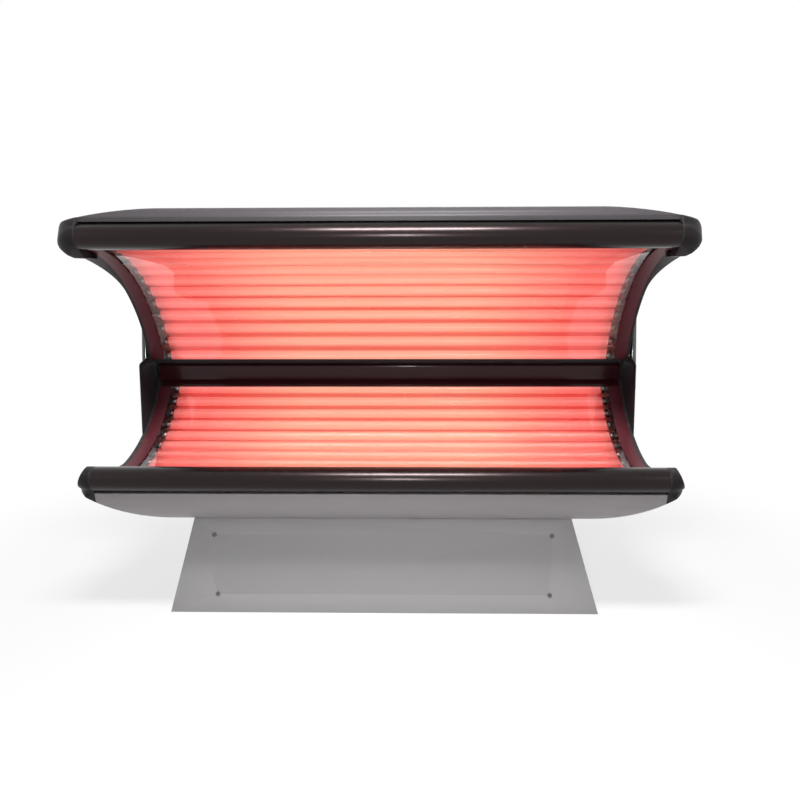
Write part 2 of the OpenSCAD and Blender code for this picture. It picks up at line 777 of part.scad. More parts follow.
// Places its children at each lamp, with Z along the lamp and X pointing away from the arc's centre
module at_lamps(c, r, a0, step) {
    for (i = [0:lamp_count - 1]) let (a = a0 + i * step)
        translate([0, c[0] + r * cos(a), c[1] + r * sin(a)]) rotate([a, 0, 0]) rotate([0, 90, 0])
            rotate([0, 0, 90]) children();
}

module bench_lamp_places() { at_lamps(bench_c, bench_lamp_r, bench_lamp_a, -bench_lamp_step) children(); }
module canopy_lamp_places() { at_lamps(canopy_c, canopy_lamp_r, canopy_lamp_a, canopy_lamp_step) children(); }

// Glass tube of one lamp
module lamp_tube() {
    wall = 1;
    difference() {
        cylinder(h = 2 * glass_half, r = lamp_r, center = true, $fn = round_fn);
        cylinder(h = 2 * glass_half + 2, r = lamp_r - wall, center = true, $fn = round_fn);
    }
}

// Metal end caps and pins of one lamp
module lamp_ends() {
    pin_gap = 12.7 / 2;
    for (s = [0, 1]) mirror([0, 0, s]) {
        translate([0, 0, glass_half]) cylinder(h = lamp_cap_len, r = lamp_r - 0.5, $fn = round_fn);
        for (p = [-1, 1]) translate([0, p * pin_gap, lamp_half])
            cylinder(h = 7, r = 1.2, $fn = 24);
    }
}

// Lampholders at both ends of one lamp, with the lamp's pins in their slot
module lamp_holders() {
    slot_half = 12.7 / 2 + 1.5;
    for (s = [0, 1]) mirror([0, 0, s]) difference() {
        translate([-holder_w / 2, -holder_w / 2, holder_x]) cube([holder_w, holder_w, holder_depth]);
        translate([-1.6, -slot_half, holder_x - 1]) cube([3.2, 2 * slot_half, 9]);
    }
}

module bench_lamps() { color([1, 0.55, 0.5]) bench_lamp_places() lamp_tube(); }
module canopy_lamps() { color([1, 0.55, 0.5]) canopy_lamp_places() lamp_tube(); }
module bench_lamp_caps() { color([0.75, 0.75, 0.75]) bench_lamp_places() lamp_ends(); }
module canopy_lamp_caps() { color([0.75, 0.75, 0.75]) canopy_lamp_places() lamp_ends(); }
module bench_lampholders() { color([0.9, 0.88, 0.86]) bench_lamp_places() lamp_holders(); }
module canopy_lampholders() { color([0.9, 0.88, 0.86]) canopy_lamp_places() lamp_holders(); }

module bench_holder_plates() {
    color([0.6, 0.6, 0.62]) both_ends() intersection() {
        along(holder_plate_x, holder_plate_x + holder_plate_t)
            ring_part(bench_c, bench_back_r + lip_gap + lip_t + 1, bench_rib_r + 24, -bench_rear_a - 0.5,
                bench_lip_a + 0.6);
        along(-far, far) intersection() {
            bench_outline(pan_t + seat, rear_lip_z);
            translate([bench_wall_y + seat, 0]) square([far, far]);
        }
        hull_prism(pan_t + seat);
    }
}

module canopy_holder_plates() {
    color([0.6, 0.6, 0.62]) both_ends() intersection() {
        along(holder_plate_x, holder_plate_x + holder_plate_t)
            ring_part(canopy_c, canopy_back_r + lip_gap + lip_t + 1, canopy_in_r - shell_seat,
                canopy_rear_a + lip_depth + 0.2, canopy_lip_a - 0.6);
        crown_prism(shell_t + shell_seat);
    }
}

// Pan: sheet tray with rounded edges that rises to the ends
module bench_pan() {
    flange_y0 = -pan_half_y + 1;
    color([0.5, 0.48, 0.49]) {
        difference() {
            intersection() {
                along(-rail_half, rail_half) bench_outline(0, bench_flange_z);
                hull_prism(0);
            }
            intersection() {
                along(-rail_half - 1, rail_half + 1) bench_outline(pan_t, bench_flange_z + 1);
                hull_prism(pan_t);
            }
            // Air openings under the fans
            for (s = [-1, 1]) translate([s * fan_x, 0, pan_z - 1])
                cylinder(h = pan_t + 2, r = fan_bore_r, $fn = round_fn);
        }
        along(-rail_half, rail_half) translate([flange_y0, bench_flange_z - flange_t])
            square([bench_wall_y - flange_y0, flange_t]);
    }
}

// Rear cover with air slots and a top lip behind the rear rail
module bench_rear_cover() {
    pitch = 100;
    color([0.5, 0.48, 0.49]) difference() {
        along(-plate_x + seat, plate_x - seat) {
            translate([pan_half_y - pan_t, bench_flange_z + seat])
                square([pan_t, rear_lip_z - bench_flange_z - seat]);
            translate([rear_lip_y, rear_lip_z - pan_t]) square([pan_half_y - rear_lip_y, pan_t]);
        }
        for (x = [-7:7], row = [0:2])
            translate([x * pitch - slot_w / 2, pan_half_y - 10, 590 + row * 24]) cube([slot_w, 20, slot_h]);
    }
}

// Longitudinal beams that stand on the pan's flat bottom
module bench_beams() {
    color([0.35, 0.35, 0.36]) for (s = [-1, 1])
        along(-pan_flat_half + 10, pan_flat_half - 10) translate([s * beam_y, pan_z + pan_t]) difference() {
            translate([-beam_w / 2, 0]) square([beam_w, beam_h]);
            translate([-beam_w / 2 + beam_wall, beam_wall])
                square([beam_w - 2 * beam_wall, beam_h - 2 * beam_wall]);
        }
}

// Cross ribs under the reflector, notched over the beams
module bench_ribs() {
    color([0.4, 0.4, 0.42]) for (x = rib_places) along(x - rib_t / 2, x + rib_t / 2) difference() {
        intersection() {
            bench_outline(pan_t + seat, bench_plate_top);
            translate([bench_wall_y + seat, 0]) square([far, far]);
        }
        translate(bench_c) circle(bench_rib_r, $fn = arc_fn);
        for (s = [-1, 1]) translate([s * beam_y - beam_w / 2 - seat, 0])
            square([beam_w + 2 * seat, pan_z + pan_t + beam_h + seat]);
        for (s = [-1, 1]) translate([s * 60, pan_z + 46]) circle(16, $fn = round_fn);
    }
}

// End plates of the bench, with the inner hinge lugs
module bench_end_plates() {
    color([0.3, 0.3, 0.31]) both_ends() difference() {
        intersection() {
            union() {
                along(plate_x, rail_half) difference() {
                    intersection() {
                        bench_outline(pan_t + seat, rear_lip_z);
                        translate([bench_wall_y + seat, 0]) square([far, far]);
                    }
                    translate(bench_c) circle(bench_back_r + seat, $fn = arc_fn);
                    ring_part(bench_c, bench_r - 10, bench_back_r + lip_gap + lip_t + seat, bench_lip_a - 1,
                        bench_front_a + lip_depth + 0.2);
                    translate([rear_lip_y - 200, rear_lip_z - pan_t - seat - 40]) square([170, 80]);
                }
                along(plate_x, rail_half) {
                    translate([hinge_y, hinge_z]) circle(hinge_lug_r, $fn = round_fn);
                    translate([hinge_y - hinge_lug_r, rear_lip_z - 60])
                        square([2 * hinge_lug_r, hinge_z - rear_lip_z + 60]);
                }
            }
            hull_prism(pan_t + seat);
        }
        along(0, far) translate([hinge_y, hinge_z]) circle(hinge_pin_r, $fn = round_fn);
        along(0, far) translate(strut_low) circle(strut_stud_r, $fn = round_fn);
    }
}

// Outer hinge plates, bolted to the end plates through two spacers
hinge_gap = 0.8;
arm_x = rail_half + hinge_gap;
outer_plate_x = arm_x + arm_t + hinge_gap;
outer_plate_t = bench_cap_out - cap_t - seat - (outer_plate_x - rail_half);
module bench_hinge_plates() {
    low_z = rear_edge[1] - 60;
    color([0.25, 0.25, 0.26]) both_ends() {
        difference() {
            along(outer_plate_x, outer_plate_x + outer_plate_t) {
                translate([hinge_y, hinge_z]) circle(hinge_lug_r, $fn = round_fn);
                translate([hinge_y - 18, low_z]) square([18 + hinge_lug_r, hinge_z - low_z]);
            }
            along(0, far) translate([hinge_y, hinge_z]) circle(hinge_pin_r, $fn = round_fn);
        }
        for (z = [low_z + 16, low_z + 56])
            along(rail_half, outer_plate_x) translate([hinge_y, z]) circle(9, $fn = round_fn);
    }
}

// Hinge pins, headed at the inner side
module hinge_pins() {
    head = 4;
    color([0.7, 0.7, 0.7]) both_ends() {
        along(plate_x, outer_plate_x + outer_plate_t) translate([hinge_y, hinge_z])
            circle(hinge_pin_r, $fn = round_fn);
        along(plate_x - head, plate_x) translate([hinge_y, hinge_z])
            circle(hinge_pin_r + 5, $fn = round_fn);
    }
}

// Hinge arms of the canopy, bolted flat to its end plates
module canopy_hinge_arms() {
    foot = on_arc(canopy_c, (canopy_rib_r + canopy_in_r) / 2, canopy_rear_a + 14);
    run = foot - [hinge_y, hinge_z];
    color([0.3, 0.3, 0.31]) both_ends() along(arm_x, arm_x + arm_t) difference() {
        union() {
            translate([hinge_y, hinge_z]) circle(arm_w / 2 + 3, $fn = round_fn);
            translate([hinge_y, hinge_z]) rotate(atan2(run[1], run[0])) translate([0, -arm_w / 2])
                square([norm(run), arm_w]);
            translate(foot) circle(arm_w / 2, $fn = round_fn);
        }
        translate([hinge_y, hinge_z]) circle(hinge_pin_r + hinge_play, $fn = round_fn);
    }
}

// Spacer bosses between the end plates and the arms belong to the end plates
module canopy_end_plates() {
    color([0.3, 0.3, 0.31]) both_ends() {
        difference() {
            intersection() {
                crown_prism(shell_t + shell_seat);
                along(plate_x, rail_half) difference() {
                    ring_part(canopy_c, canopy_back_r + seat, canopy_in_r - shell_seat, canopy_end_a + 0.2,
                        canopy_lip_a);
                    translate([canopy_wall_y + seat - far, 0]) square([far, far]);
                    ring_part(canopy_c, canopy_r, canopy_back_r + lip_gap + lip_t + seat,
                        canopy_front_a - lip_depth - 0.2, canopy_lip_a + 2);
                }
            }
            along(0, far) translate(strut_top) circle(strut_stud_r, $fn = round_fn);
        }
        for (a = [canopy_rear_a + 8, canopy_rear_a + 14]) along(rail_half, arm_x)
            translate(on_arc(canopy_c, (canopy_rib_r + canopy_in_r) / 2, a)) circle(9, $fn = round_fn);
    }
}

// Outline of the shell and all it encloses, set in by d
module shell_outline(d) {
    front = roll[0] - shell_front_r + d;
    flange = canopy_flange_z + d;
    ring_part(canopy_c, canopy_out_r - shell_front_r - 2 - d, canopy_out_r - d, canopy_rear_a, roll_a);
    intersection() {
        translate(roll) circle(shell_front_r - d, $fn = arc_fn);
        translate([front - 1, roll[1] - 1]) square([far, far]);
    }
    translate([front, flange]) square([canopy_wall_y + 2 * d - front, roll[1] - flange]);
}

// Shell with a rolled front edge, its rail flange and air slots over the fans
module canopy_shell() {
    slot_turn = 3;
    color([0.17, 0.16, 0.17]) difference() {
        intersection() {
            along(-rail_half, rail_half) shell_outline(0);
            crown_prism(0);
        }
        intersection() {
            along(-rail_half - 1, rail_half + 1) {
                shell_outline(shell_t);
                // Open rear edge
                ring_part(canopy_c, canopy_r, canopy_in_r, canopy_rear_a - 1, canopy_rear_a + 1);
            }
            crown_prism(shell_t);
        }
        for (s = [-1, 1], k = [-2:2]) along(s * fan_x - slot_w / 2, s * fan_x + slot_w / 2)
            let (a = fan_a + k * 1.8)
            ring_part(canopy_c, canopy_in_r - 1, canopy_out_r + 1, a - slot_turn / 10, a + slot_turn / 10);
    }
}

// Rear rail of the canopy: a channel that closes the gap from the acrylic to the shell
module canopy_rear_rail() {
    color([0.12, 0.11, 0.12]) along(-plate_x + seat, plate_x - seat) {
        ring_part(canopy_c, canopy_r - lip_gap - lip_t, canopy_in_r - seat, canopy_rear_a,
            canopy_rear_a + 0.25);
        ring_part(canopy_c, canopy_r - lip_gap - lip_t, canopy_r - lip_gap, canopy_rear_a,
            canopy_rear_a + lip_depth);
        ring_part(canopy_c, canopy_back_r + lip_gap, canopy_back_r + lip_gap + lip_t, canopy_rear_a,
            canopy_rear_a + 0.6);
        ring_part(canopy_c, canopy_in_r - seat - lip_t, canopy_in_r - seat, canopy_rear_a,
            canopy_rear_a + lip_depth);
    }
}

module canopy_ribs() {
    color([0.4, 0.4, 0.42]) for (x = rib_places) along(x - rib_t / 2, x + rib_t / 2) difference() {
        ring_part(canopy_c, canopy_rib_r, canopy_in_r - shell_seat, canopy_rear_a + 3, roll_a - 2);
        for (k = [1:8])
            translate(on_arc(canopy_c, (canopy_rib_r + canopy_in_r) / 2, canopy_rear_a + k * 7.6))
                circle(14, $fn = round_fn);
    }
}

// Ballasts: steel boxes with two feet
module ballast(h) {
    foot = 16;
    translate([-ballast_l / 2, -ballast_w / 2, 0]) cube([ballast_l, ballast_w, h]);
    translate([-ballast_l / 2 - foot, -ballast_w / 2, 0]) cube([ballast_l + 2 * foot, ballast_w, 2]);
}

// Ballasts stand in two rows, with one column in each bay between the ribs
ballast_columns = ceil(ballast_count / 2);
bay = rib_places[1] - rib_places[0];
function ballast_x(i) = (floor(i / 2) - (ballast_columns - 1) / 2) * bay;
module bench_ballasts() {
    row_y = beam_y - beam_w / 2 - ballast_w / 2 - 3;
    color([0.85, 0.85, 0.82]) for (i = [0:ballast_count - 1])
        translate([ballast_x(i), (i % 2 == 0 ? 1 : -1) * row_y, pan_z + pan_t]) ballast(ballast_h);
}

// Canopy ballasts stand on the shell's inner face
canopy_ballast_a = 60;
canopy_ballast_step = 8;
module canopy_ballasts() {
    seat_r = sqrt(pow(canopy_in_r - seat, 2) - pow(ballast_w / 2, 2));
    color([0.85, 0.85, 0.82]) for (i = [0:ballast_count - 1])
        translate([ballast_x(i), canopy_y, canopy_z])
            rotate([canopy_ballast_a + (i % 2) * canopy_ballast_step - 90, 0, 0])
                translate([0, 0, seat_r]) mirror([0, 0, 1]) ballast(ballast_h);
}

// Fan frame: a square casing with four arms that hold the hub
fan_hub_r = 19;
fan_play = 2;
module fan_frame() {
    motor_h = 4;
    difference() {
        translate([-fan_w / 2, -fan_w / 2, 0]) cube([fan_w, fan_w, fan_t]);
        translate([0, 0, -1]) cylinder(h = fan_t + 2, r = fan_bore_r, $fn = round_fn);
        for (x = [-1, 1], y = [-1, 1]) translate([x * (fan_w / 2 - 7), y * (fan_w / 2 - 7), -1])
            cylinder(h = fan_t + 2, r = 2.2, $fn = 24);
    }
    for (a = [0:90:270]) rotate([0, 0, a + 20]) translate([fan_hub_r - 2, -2.5, 0])
        cube([fan_bore_r - fan_hub_r + 3, 5, motor_h]);
    cylinder(h = motor_h, r = fan_hub_r, $fn = round_fn);
    cylinder(h = motor_h + 8, r = 3, $fn = 24);
}

// Fan rotor with tilted blades, running on the frame's short shaft
module fan_rotor() {
    z0 = 4.6;
    hub_h = fan_t - z0 - 2;
    blade_t = 2;
    difference() {
        union() {
            translate([0, 0, z0]) cylinder(h = hub_h, r = fan_hub_r, $fn = round_fn);
            intersection() {
                for (i = [0:fan_blades - 1]) rotate([0, 0, i * 360 / fan_blades])
                    translate([fan_hub_r - 1, 0, z0 + hub_h / 2]) rotate([38, 0, 0])
                        translate([0, -15, -blade_t / 2]) cube([fan_bore_r, 30, blade_t]);
                translate([0, 0, z0]) cylinder(h = hub_h, r = fan_bore_r - fan_play, $fn = round_fn);
            }
        }
        translate([0, 0, z0 - 1]) cylinder(h = 9.6, r = 3.05, $fn = 24);
    }
}

// Fans stand on the pan in the bench, and lie against the shell in the canopy
fan_a = 40;
module bench_fan_place(s) { translate([s * fan_x, 0, pan_z + pan_t]) children(); }
module canopy_fan_place(s) {
    seat_r = sqrt(pow(canopy_in_r - seat, 2) - pow(fan_w / 2, 2));
    translate([s * fan_x, canopy_y, canopy_z]) rotate([fan_a - 90, 0, 0]) translate([0, 0, seat_r])
        mirror([0, 0, 1]) children();
}

module bench_fan_frames() { color([0.1, 0.1, 0.1]) for (s = [-1, 1]) bench_fan_place(s) fan_frame(); }
module canopy_fan_frames() { color([0.1, 0.1, 0.1]) for (s = [-1, 1]) canopy_fan_place(s) fan_frame(); }
module bench_fan_rotor_left() { color([0.15, 0.15, 0.15]) bench_fan_place(-1) fan_rotor(); }
module bench_fan_rotor_right() { color([0.15, 0.15, 0.15]) bench_fan_place(1) fan_rotor(); }
module canopy_fan_rotor_left() { color([0.15, 0.15, 0.15]) canopy_fan_place(-1) fan_rotor(); }
module canopy_fan_rotor_right() { color([0.15, 0.15, 0.15]) canopy_fan_place(1) fan_rotor(); }

// Studs that carry the struts: a shank from the end plate, a collar, a pin and a head
module strut_stud(p, head_r) {
    eye_x0 = strut_x - strut_eye_t / 2 - 0.5;
    eye_x1 = strut_x + strut_eye_t / 2 + 0.5;
    along(plate_x, eye_x1) translate(p) circle(strut_stud_r, $fn = round_fn);
    along(rail_half, eye_x0) translate(p) circle(strut_collar_r, $fn = round_fn);
    along(eye_x1, eye_x1 + 3) translate(p) circle(head_r, $fn = round_fn);
}

module strut_lower_studs() { color([0.7, 0.7, 0.7]) both_ends() strut_stud(strut_low, strut_stud_r + 3); }
module strut_upper_studs() { color([0.7, 0.7, 0.7]) both_ends() strut_stud(strut_top, strut_top_eye_r - 1); }

// Places its children with Z along the strut from its lower stud, at the right
module on_strut() {
    translate([strut_x, strut_low[0], strut_low[1]]) rotate([strut_a - 90, 0, 0]) children();
}

// Cylinder, hung from the upper stud by a socket that is open enough to stay clear of the stud
module strut_cylinder() {
    tube_z = strut_top_eye_r + 6;
    floor_z = tube_z + 6;
    color([0.06, 0.06, 0.06]) on_strut() translate([0, 0, strut_len]) mirror([0, 0, 1]) difference() {
        union() {
            rotate([0, 90, 0]) cylinder(h = strut_eye_t, r = strut_top_eye_r, center = true, $fn = round_fn);
            translate([-strut_eye_t / 2, -strut_collar_r, strut_hole_r])
                cube([strut_eye_t, 2 * strut_collar_r, tube_z - strut_hole_r + 2]);
            translate([0, 0, tube_z]) cylinder(h = strut_cyl_len - tube_z, r = strut_r, $fn = round_fn);
        }
        rotate([0, 90, 0]) cylinder(h = 2 * strut_r + 2, r = strut_hole_r, center = true, $fn = round_fn);
        translate([0, 0, floor_z]) cylinder(h = strut_cyl_len - floor_z - gland_t, r = strut_bore_r,
            $fn = round_fn);
        translate([0, 0, floor_z]) cylinder(h = strut_cyl_len, r = strut_rod_r + hinge_play, $fn = round_fn);
    }
}

// Rod with its piston, and its eye on the lower stud
module strut_rod() {
    piston_z = strut_len - strut_cyl_len + 72 - piston_len;
    color([0.8, 0.8, 0.8]) on_strut() {
        translate([0, 0, piston_z]) cylinder(h = piston_len, r = strut_bore_r - hinge_play, $fn = round_fn);
        difference() {
            union() {
                translate([0, 0, strut_eye_r - 4]) cylinder(h = piston_z - strut_eye_r + 4 + piston_len / 2,
                    r = strut_rod_r, $fn = round_fn);
                rotate([0, 90, 0]) cylinder(h = strut_eye_t, r = strut_eye_r, center = true, $fn = round_fn);
            }
            rotate([0, 90, 0]) cylinder(h = strut_eye_t + 2, r = strut_stud_r + hinge_play, center = true,
                $fn = round_fn);
        }
    }
}

module strut_cylinder_left() { mirror([1, 0, 0]) strut_cylinder(); }
module strut_cylinder_right() { strut_cylinder(); }
module strut_rod_left() { mirror([1, 0, 0]) strut_rod(); }
module strut_rod_right() { strut_rod(); }

// Pedestal
module pedestal_base_plate() {
    inset = panel_t + seat;
    color([0.45, 0.45, 0.45]) difference() {
        translate([-ped_foot_w / 2 + inset + 2, -ped_inner_y + seat, 0])
            cube([ped_foot_w - 2 * inset - 4, 2 * (ped_inner_y - seat), base_t]);
        for (x = [-500:250:500], y = [-90, 90]) translate([x, y, -1])
            cylinder(h = base_t + 2, r = 30, $fn = round_fn);
    }
}

// Square tube of the pedestal's frame, from a point along one axis
module tube(from, size) {
    wall = 2;
    long = max(size);
    translate(from) difference() {
        cube(size);
        translate([for (side = size) side == long ? -1 : wall])
            cube([for (side = size) side == long ? long + 2 : side - 2 * wall]);
    }
}

module pedestal_frame() {
    post_h = pan_z - base_t;
    post_y = ped_inner_y - seat - post_w;
    tie = 2 * post_y;
    span = 2 * post_x - post_w;
    color([0.3, 0.3, 0.3]) difference() {
        union() {
            for (x = [-1, 1]) {
                for (y = [0, 1]) mirror([0, y, 0])
                    tube([x * post_x - post_w / 2, post_y, base_t], [post_w, post_w, post_h]);
                for (z = [base_t, pan_z - post_w])
                    tube([x * post_x - post_w / 2, -tie / 2, z], [post_w, tie, post_w]);
            }
            for (y = [0, 1], z = [base_t, pan_z - post_w]) mirror([0, y, 0])
                tube([-span / 2, post_y, z], [span, post_w, post_w]);
        }
        panel_screw_places() cylinder(h = 60, r = 2.5, center = true, $fn = 24);
    }
}

// Places its children at the panel screws, with Z pointing out of the panel
module panel_screw_places() {
    for (turn = [0, 180], x = [-1, 1], z = [screw_low_z, screw_high_z])
        rotate([0, 0, turn]) translate([x * post_x, -ped_half_y, z]) rotate([90, 0, 0]) children();
}

// Face panel of the pedestal
module face_panel() {
    difference() {
        rotate([90, 0, 0]) translate([0, 0, ped_inner_y]) linear_extrude(panel_t)
            polygon([[-ped_foot_w / 2, 0], [ped_foot_w / 2, 0], [ped_top_w / 2, panel_top],
                [-ped_top_w / 2, panel_top]]);
        panel_screw_places() cylinder(h = 60, r = 2.5, center = true, $fn = 24);
    }
}

module pedestal_front_panel() { color([0.53, 0.53, 0.52]) face_panel(); }
gland_x = -420;
gland_z = 60;
module pedestal_rear_panel() {
    color([0.53, 0.53, 0.52]) difference() {
        rotate([0, 0, 180]) face_panel();
        for (x = [-3:3], row = [0:5]) translate([x * 110 - slot_w / 2, ped_inner_y - 1, 120 + row * 26])
            cube([slot_w, panel_t + 2, slot_h]);
        translate([gland_x, ped_half_y, gland_z]) rotate([90, 0, 0])
            cylinder(h = 20, r = gland_bore_r + 3.5, center = true, $fn = round_fn);
    }
}

// Sloping side panel between the face panels, at the right
module side_panel() {
    slope = (ped_foot_w - ped_top_w) / 2;
    drop = panel_t / cos(side_tilt);
    rotate([90, 0, 0]) translate([0, 0, -ped_inner_y + seat]) linear_extrude(2 * (ped_inner_y - seat))
        polygon([[ped_foot_w / 2 - drop, 0], [ped_foot_w / 2, 0],
            [ped_foot_w / 2 - slope * panel_top / pan_z, panel_top],
            [ped_foot_w / 2 - slope * panel_top / pan_z - drop, panel_top]]);
}

module pedestal_side_panel_left() { color([0.5, 0.5, 0.5]) mirror([1, 0, 0]) side_panel(); }
module pedestal_side_panel_right() { color([0.5, 0.5, 0.5]) side_panel(); }

// Pan-headed screws with a cross recess
module panel_screw() {
    shank = 14;
    head_h = 3;
    difference() {
        cylinder(h = head_h, r = screw_head_r, $fn = round_fn);
        for (a = [0, 90]) rotate([0, 0, a]) translate([-screw_head_r * 0.55, -0.9, 1.2])
            cube([screw_head_r * 1.1, 1.8, head_h]);
    }
    translate([0, 0, -shank]) cylinder(h = shank, r = 2.4, $fn = 24);
}

module pedestal_panel_screws() { color([0.12, 0.12, 0.12]) panel_screw_places() panel_screw(); }

// Mains cable gland through the rear panel
module mains_gland() {
    body_r = gland_bore_r + 3.3;
    flange_r = gland_bore_r + 8;
    color([0.08, 0.08, 0.08]) translate([gland_x, ped_half_y, gland_z]) rotate([-90, 0, 0]) difference() {
        union() {
            translate([0, 0, -panel_t - 8]) cylinder(h = panel_t + 8, r = body_r, $fn = round_fn);
            cylinder(h = 5, r = flange_r, $fn = 6);
            cylinder(h = 22, r = body_r, $fn = round_fn);
            translate([0, 0, -panel_t - 5]) cylinder(h = 5, r = flange_r, $fn = 6);
        }
        translate([0, 0, -panel_t - 9]) cylinder(h = 40, r = gland_bore_r, $fn = round_fn);
    }
}

// Plate in the pedestal with the contactor and the terminal block
plate_w = 300;
plate_y = ped_inner_y - 120;
module control_plate() {
    color([0.6, 0.6, 0.6]) {
        translate([-post_x + 90, plate_y - 60, base_t]) cube([plate_w, 130, 2]);
    }
}

module contactor() {
    color([0.2, 0.2, 0.22]) translate([-post_x + 120, plate_y - 40, base_t + 2]) {
        cube([45, 75, 50]);
        translate([6, 12, 50]) cube([33, 51, 26]);
    }
}

module terminal_block() {
    ways = 6;
    pitch = 12;
    color([0.85, 0.85, 0.82]) translate([-post_x + 210, plate_y - 10, base_t + 2]) difference() {
        cube([ways * pitch + 2, 30, 22]);
        for (i = [0:ways - 1], y = [8, 22]) translate([7 + i * pitch, y, 10])
            cylinder(h = 20, r = 3, $fn = 24);
    }
}

pedestal_base_plate();
pedestal_frame();
pedestal_front_panel();
pedestal_rear_panel();
pedestal_side_panel_left();
pedestal_side_panel_right();
pedestal_panel_screws();
mains_gland();
control_plate();
contactor();
terminal_block();
bench_pan();
bench_rear_cover();
bench_beams();
bench_ribs();
bench_end_plates();
bench_front_rail();
bench_rear_rail();
bench_end_cap_left();
bench_end_cap_right();
bench_end_trim_left();
bench_end_trim_right();
bench_acrylic();
bench_reflector();
bench_lamps();
bench_lamp_caps();
bench_lampholders();
bench_holder_plates();
bench_ballasts();
bench_fan_frames();
bench_fan_rotor_left();
bench_fan_rotor_right();
bench_hinge_plates();
hinge_pins();
strut_lower_studs();
strut_cylinder_left();
strut_cylinder_right();
strut_rod_left();
strut_rod_right();
strut_upper_studs();
canopy_hinge_arms();
canopy_shell();
canopy_ribs();
canopy_end_plates();
canopy_front_rail();
canopy_rear_rail();
canopy_end_cap_left();
canopy_end_cap_right();
canopy_end_trim_left();
canopy_end_trim_right();
canopy_acrylic();
canopy_reflector();
canopy_lamps();
canopy_lamp_caps();
canopy_lampholders();
canopy_holder_plates();
canopy_ballasts();
canopy_fan_frames();
canopy_fan_rotor_left();
canopy_fan_rotor_right();
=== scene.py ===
"""Clamshell light therapy bed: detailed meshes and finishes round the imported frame."""
import json
import logging
import math
from dataclasses import dataclass
from enum import Enum
from typing import Iterable, Optional, Sequence

import bmesh
import bpy
from mathutils import Matrix, Vector


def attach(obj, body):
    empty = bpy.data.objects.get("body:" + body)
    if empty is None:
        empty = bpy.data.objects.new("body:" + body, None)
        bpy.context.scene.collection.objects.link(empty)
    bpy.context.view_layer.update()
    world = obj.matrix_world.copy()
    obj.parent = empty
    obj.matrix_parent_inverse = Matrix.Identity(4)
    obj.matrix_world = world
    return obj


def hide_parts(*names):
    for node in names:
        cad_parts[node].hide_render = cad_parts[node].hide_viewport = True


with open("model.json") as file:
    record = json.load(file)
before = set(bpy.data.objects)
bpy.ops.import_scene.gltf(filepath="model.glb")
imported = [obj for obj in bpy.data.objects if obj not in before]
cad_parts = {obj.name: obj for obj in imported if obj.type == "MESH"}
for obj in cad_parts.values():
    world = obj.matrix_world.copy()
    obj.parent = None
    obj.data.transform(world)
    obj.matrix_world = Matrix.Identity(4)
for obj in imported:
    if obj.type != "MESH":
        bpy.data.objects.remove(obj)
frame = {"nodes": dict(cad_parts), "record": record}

LOG = logging.getLogger("light_bed")
MM = 0.001

# Points closer than this are one point, and edges shorter than this are dropped
WELD = 0.002 * MM
SHORTEST_EDGE = 0.001 * MM
# Faces that turn by less than this are taken as one face
FLAT_ANGLE = math.radians(0.6)
# Edges that turn by more than this stay sharp, on copies of nodes and on new meshes
NODE_SHARP = math.radians(32)
NEW_SHARP = math.radians(40)
DUST_COLOUR = (0.45, 0.43, 0.41)

Colour = tuple[float, float, float]
Point2 = tuple[float, float]
Point3 = tuple[float, float, float]
Profile = tuple[Point2, ...]


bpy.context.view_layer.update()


class Wiring:
    """Short ways to add and join nodes in one node tree."""

    # Places of the colour sockets on a Mix node, which has one set for each kind of data
    MIX_FACTOR, MIX_FIRST, MIX_SECOND, MIX_RESULT = 0, 6, 7, 2

    def __init__(self, tree: bpy.types.NodeTree) -> None:
        """Works on the given tree."""
        self.tree = tree

    def add(self, kind: str, **settings: object) -> bpy.types.Node:
        """Adds a node.

        Args:
            kind: The node's type name.
            settings: Attributes of the node, such as operation.

        Returns:
            The new node.
        """
        node = self.tree.nodes.new(kind)
        for name, value in settings.items():
            setattr(node, name, value)
        return node

    def put(self, socket: bpy.types.NodeSocket, value: object) -> None:
        """Joins an output to a socket, or sets the socket's own value.

        Args:
            socket: The socket.
            value: Another node's output, a plain value, or None to leave the socket as it is.
        """
        if isinstance(value, bpy.types.NodeSocket):
            self.tree.links.new(value, socket)
        elif value is not None:
            socket.default_value = value

    def math(self, operation: str, *values: object) -> bpy.types.NodeSocket:
        """Adds a Math node.

        Args:
            operation: The node's operation.
            values: Sockets or numbers for its inputs, in order.

        Returns:
            The node's output.
        """
        node = self.add("ShaderNodeMath", operation=operation)
        for socket, value in zip(node.inputs, values):
            self.put(socket, value)
        return node.outputs[0]

    def ramp(self, value: object, low: float, high: float, out_low: float = 0.0,
             out_high: float = 1.0) -> bpy.types.NodeSocket:
        """Maps a value smoothly from one range to another.

        Args:
            value: The socket that is mapped.
            low: Value that gives out_low.
            high: Value that gives out_high.
            out_low: Result at low.
            out_high: Result at high.

        Returns:
            The mapped value.
        """
        node = self.add("ShaderNodeMapRange", interpolation_type="SMOOTHSTEP")
        for key, number in zip(("Value", "From Min", "From Max", "To Min", "To Max"),
                               (value, low, high, out_low, out_high)):
            self.put(node.inputs[key], number)
        return node.outputs["Result"]

    def blend(self, factor: object, first: object, second: object) -> bpy.types.NodeSocket:
        """Mixes two colours.

        Args:
            factor: Share of the second colour.
            first: Socket or colour.
            second: Socket or colour.

        Returns:
            The mixed colour.
        """
        node = self.add("ShaderNodeMix", data_type="RGBA")
        self.put(node.inputs[self.MIX_FACTOR], factor)
        for place, value in ((self.MIX_FIRST, first), (self.MIX_SECOND, second)):
            self.put(node.inputs[place], value if isinstance(value, bpy.types.NodeSocket) else rgba(value))
        return node.outputs[self.MIX_RESULT]


def rgba(colour: Colour) -> tuple[float, float, float, float]:
    """Returns the colour with full opacity."""
    return (*colour[:3], 1.0)


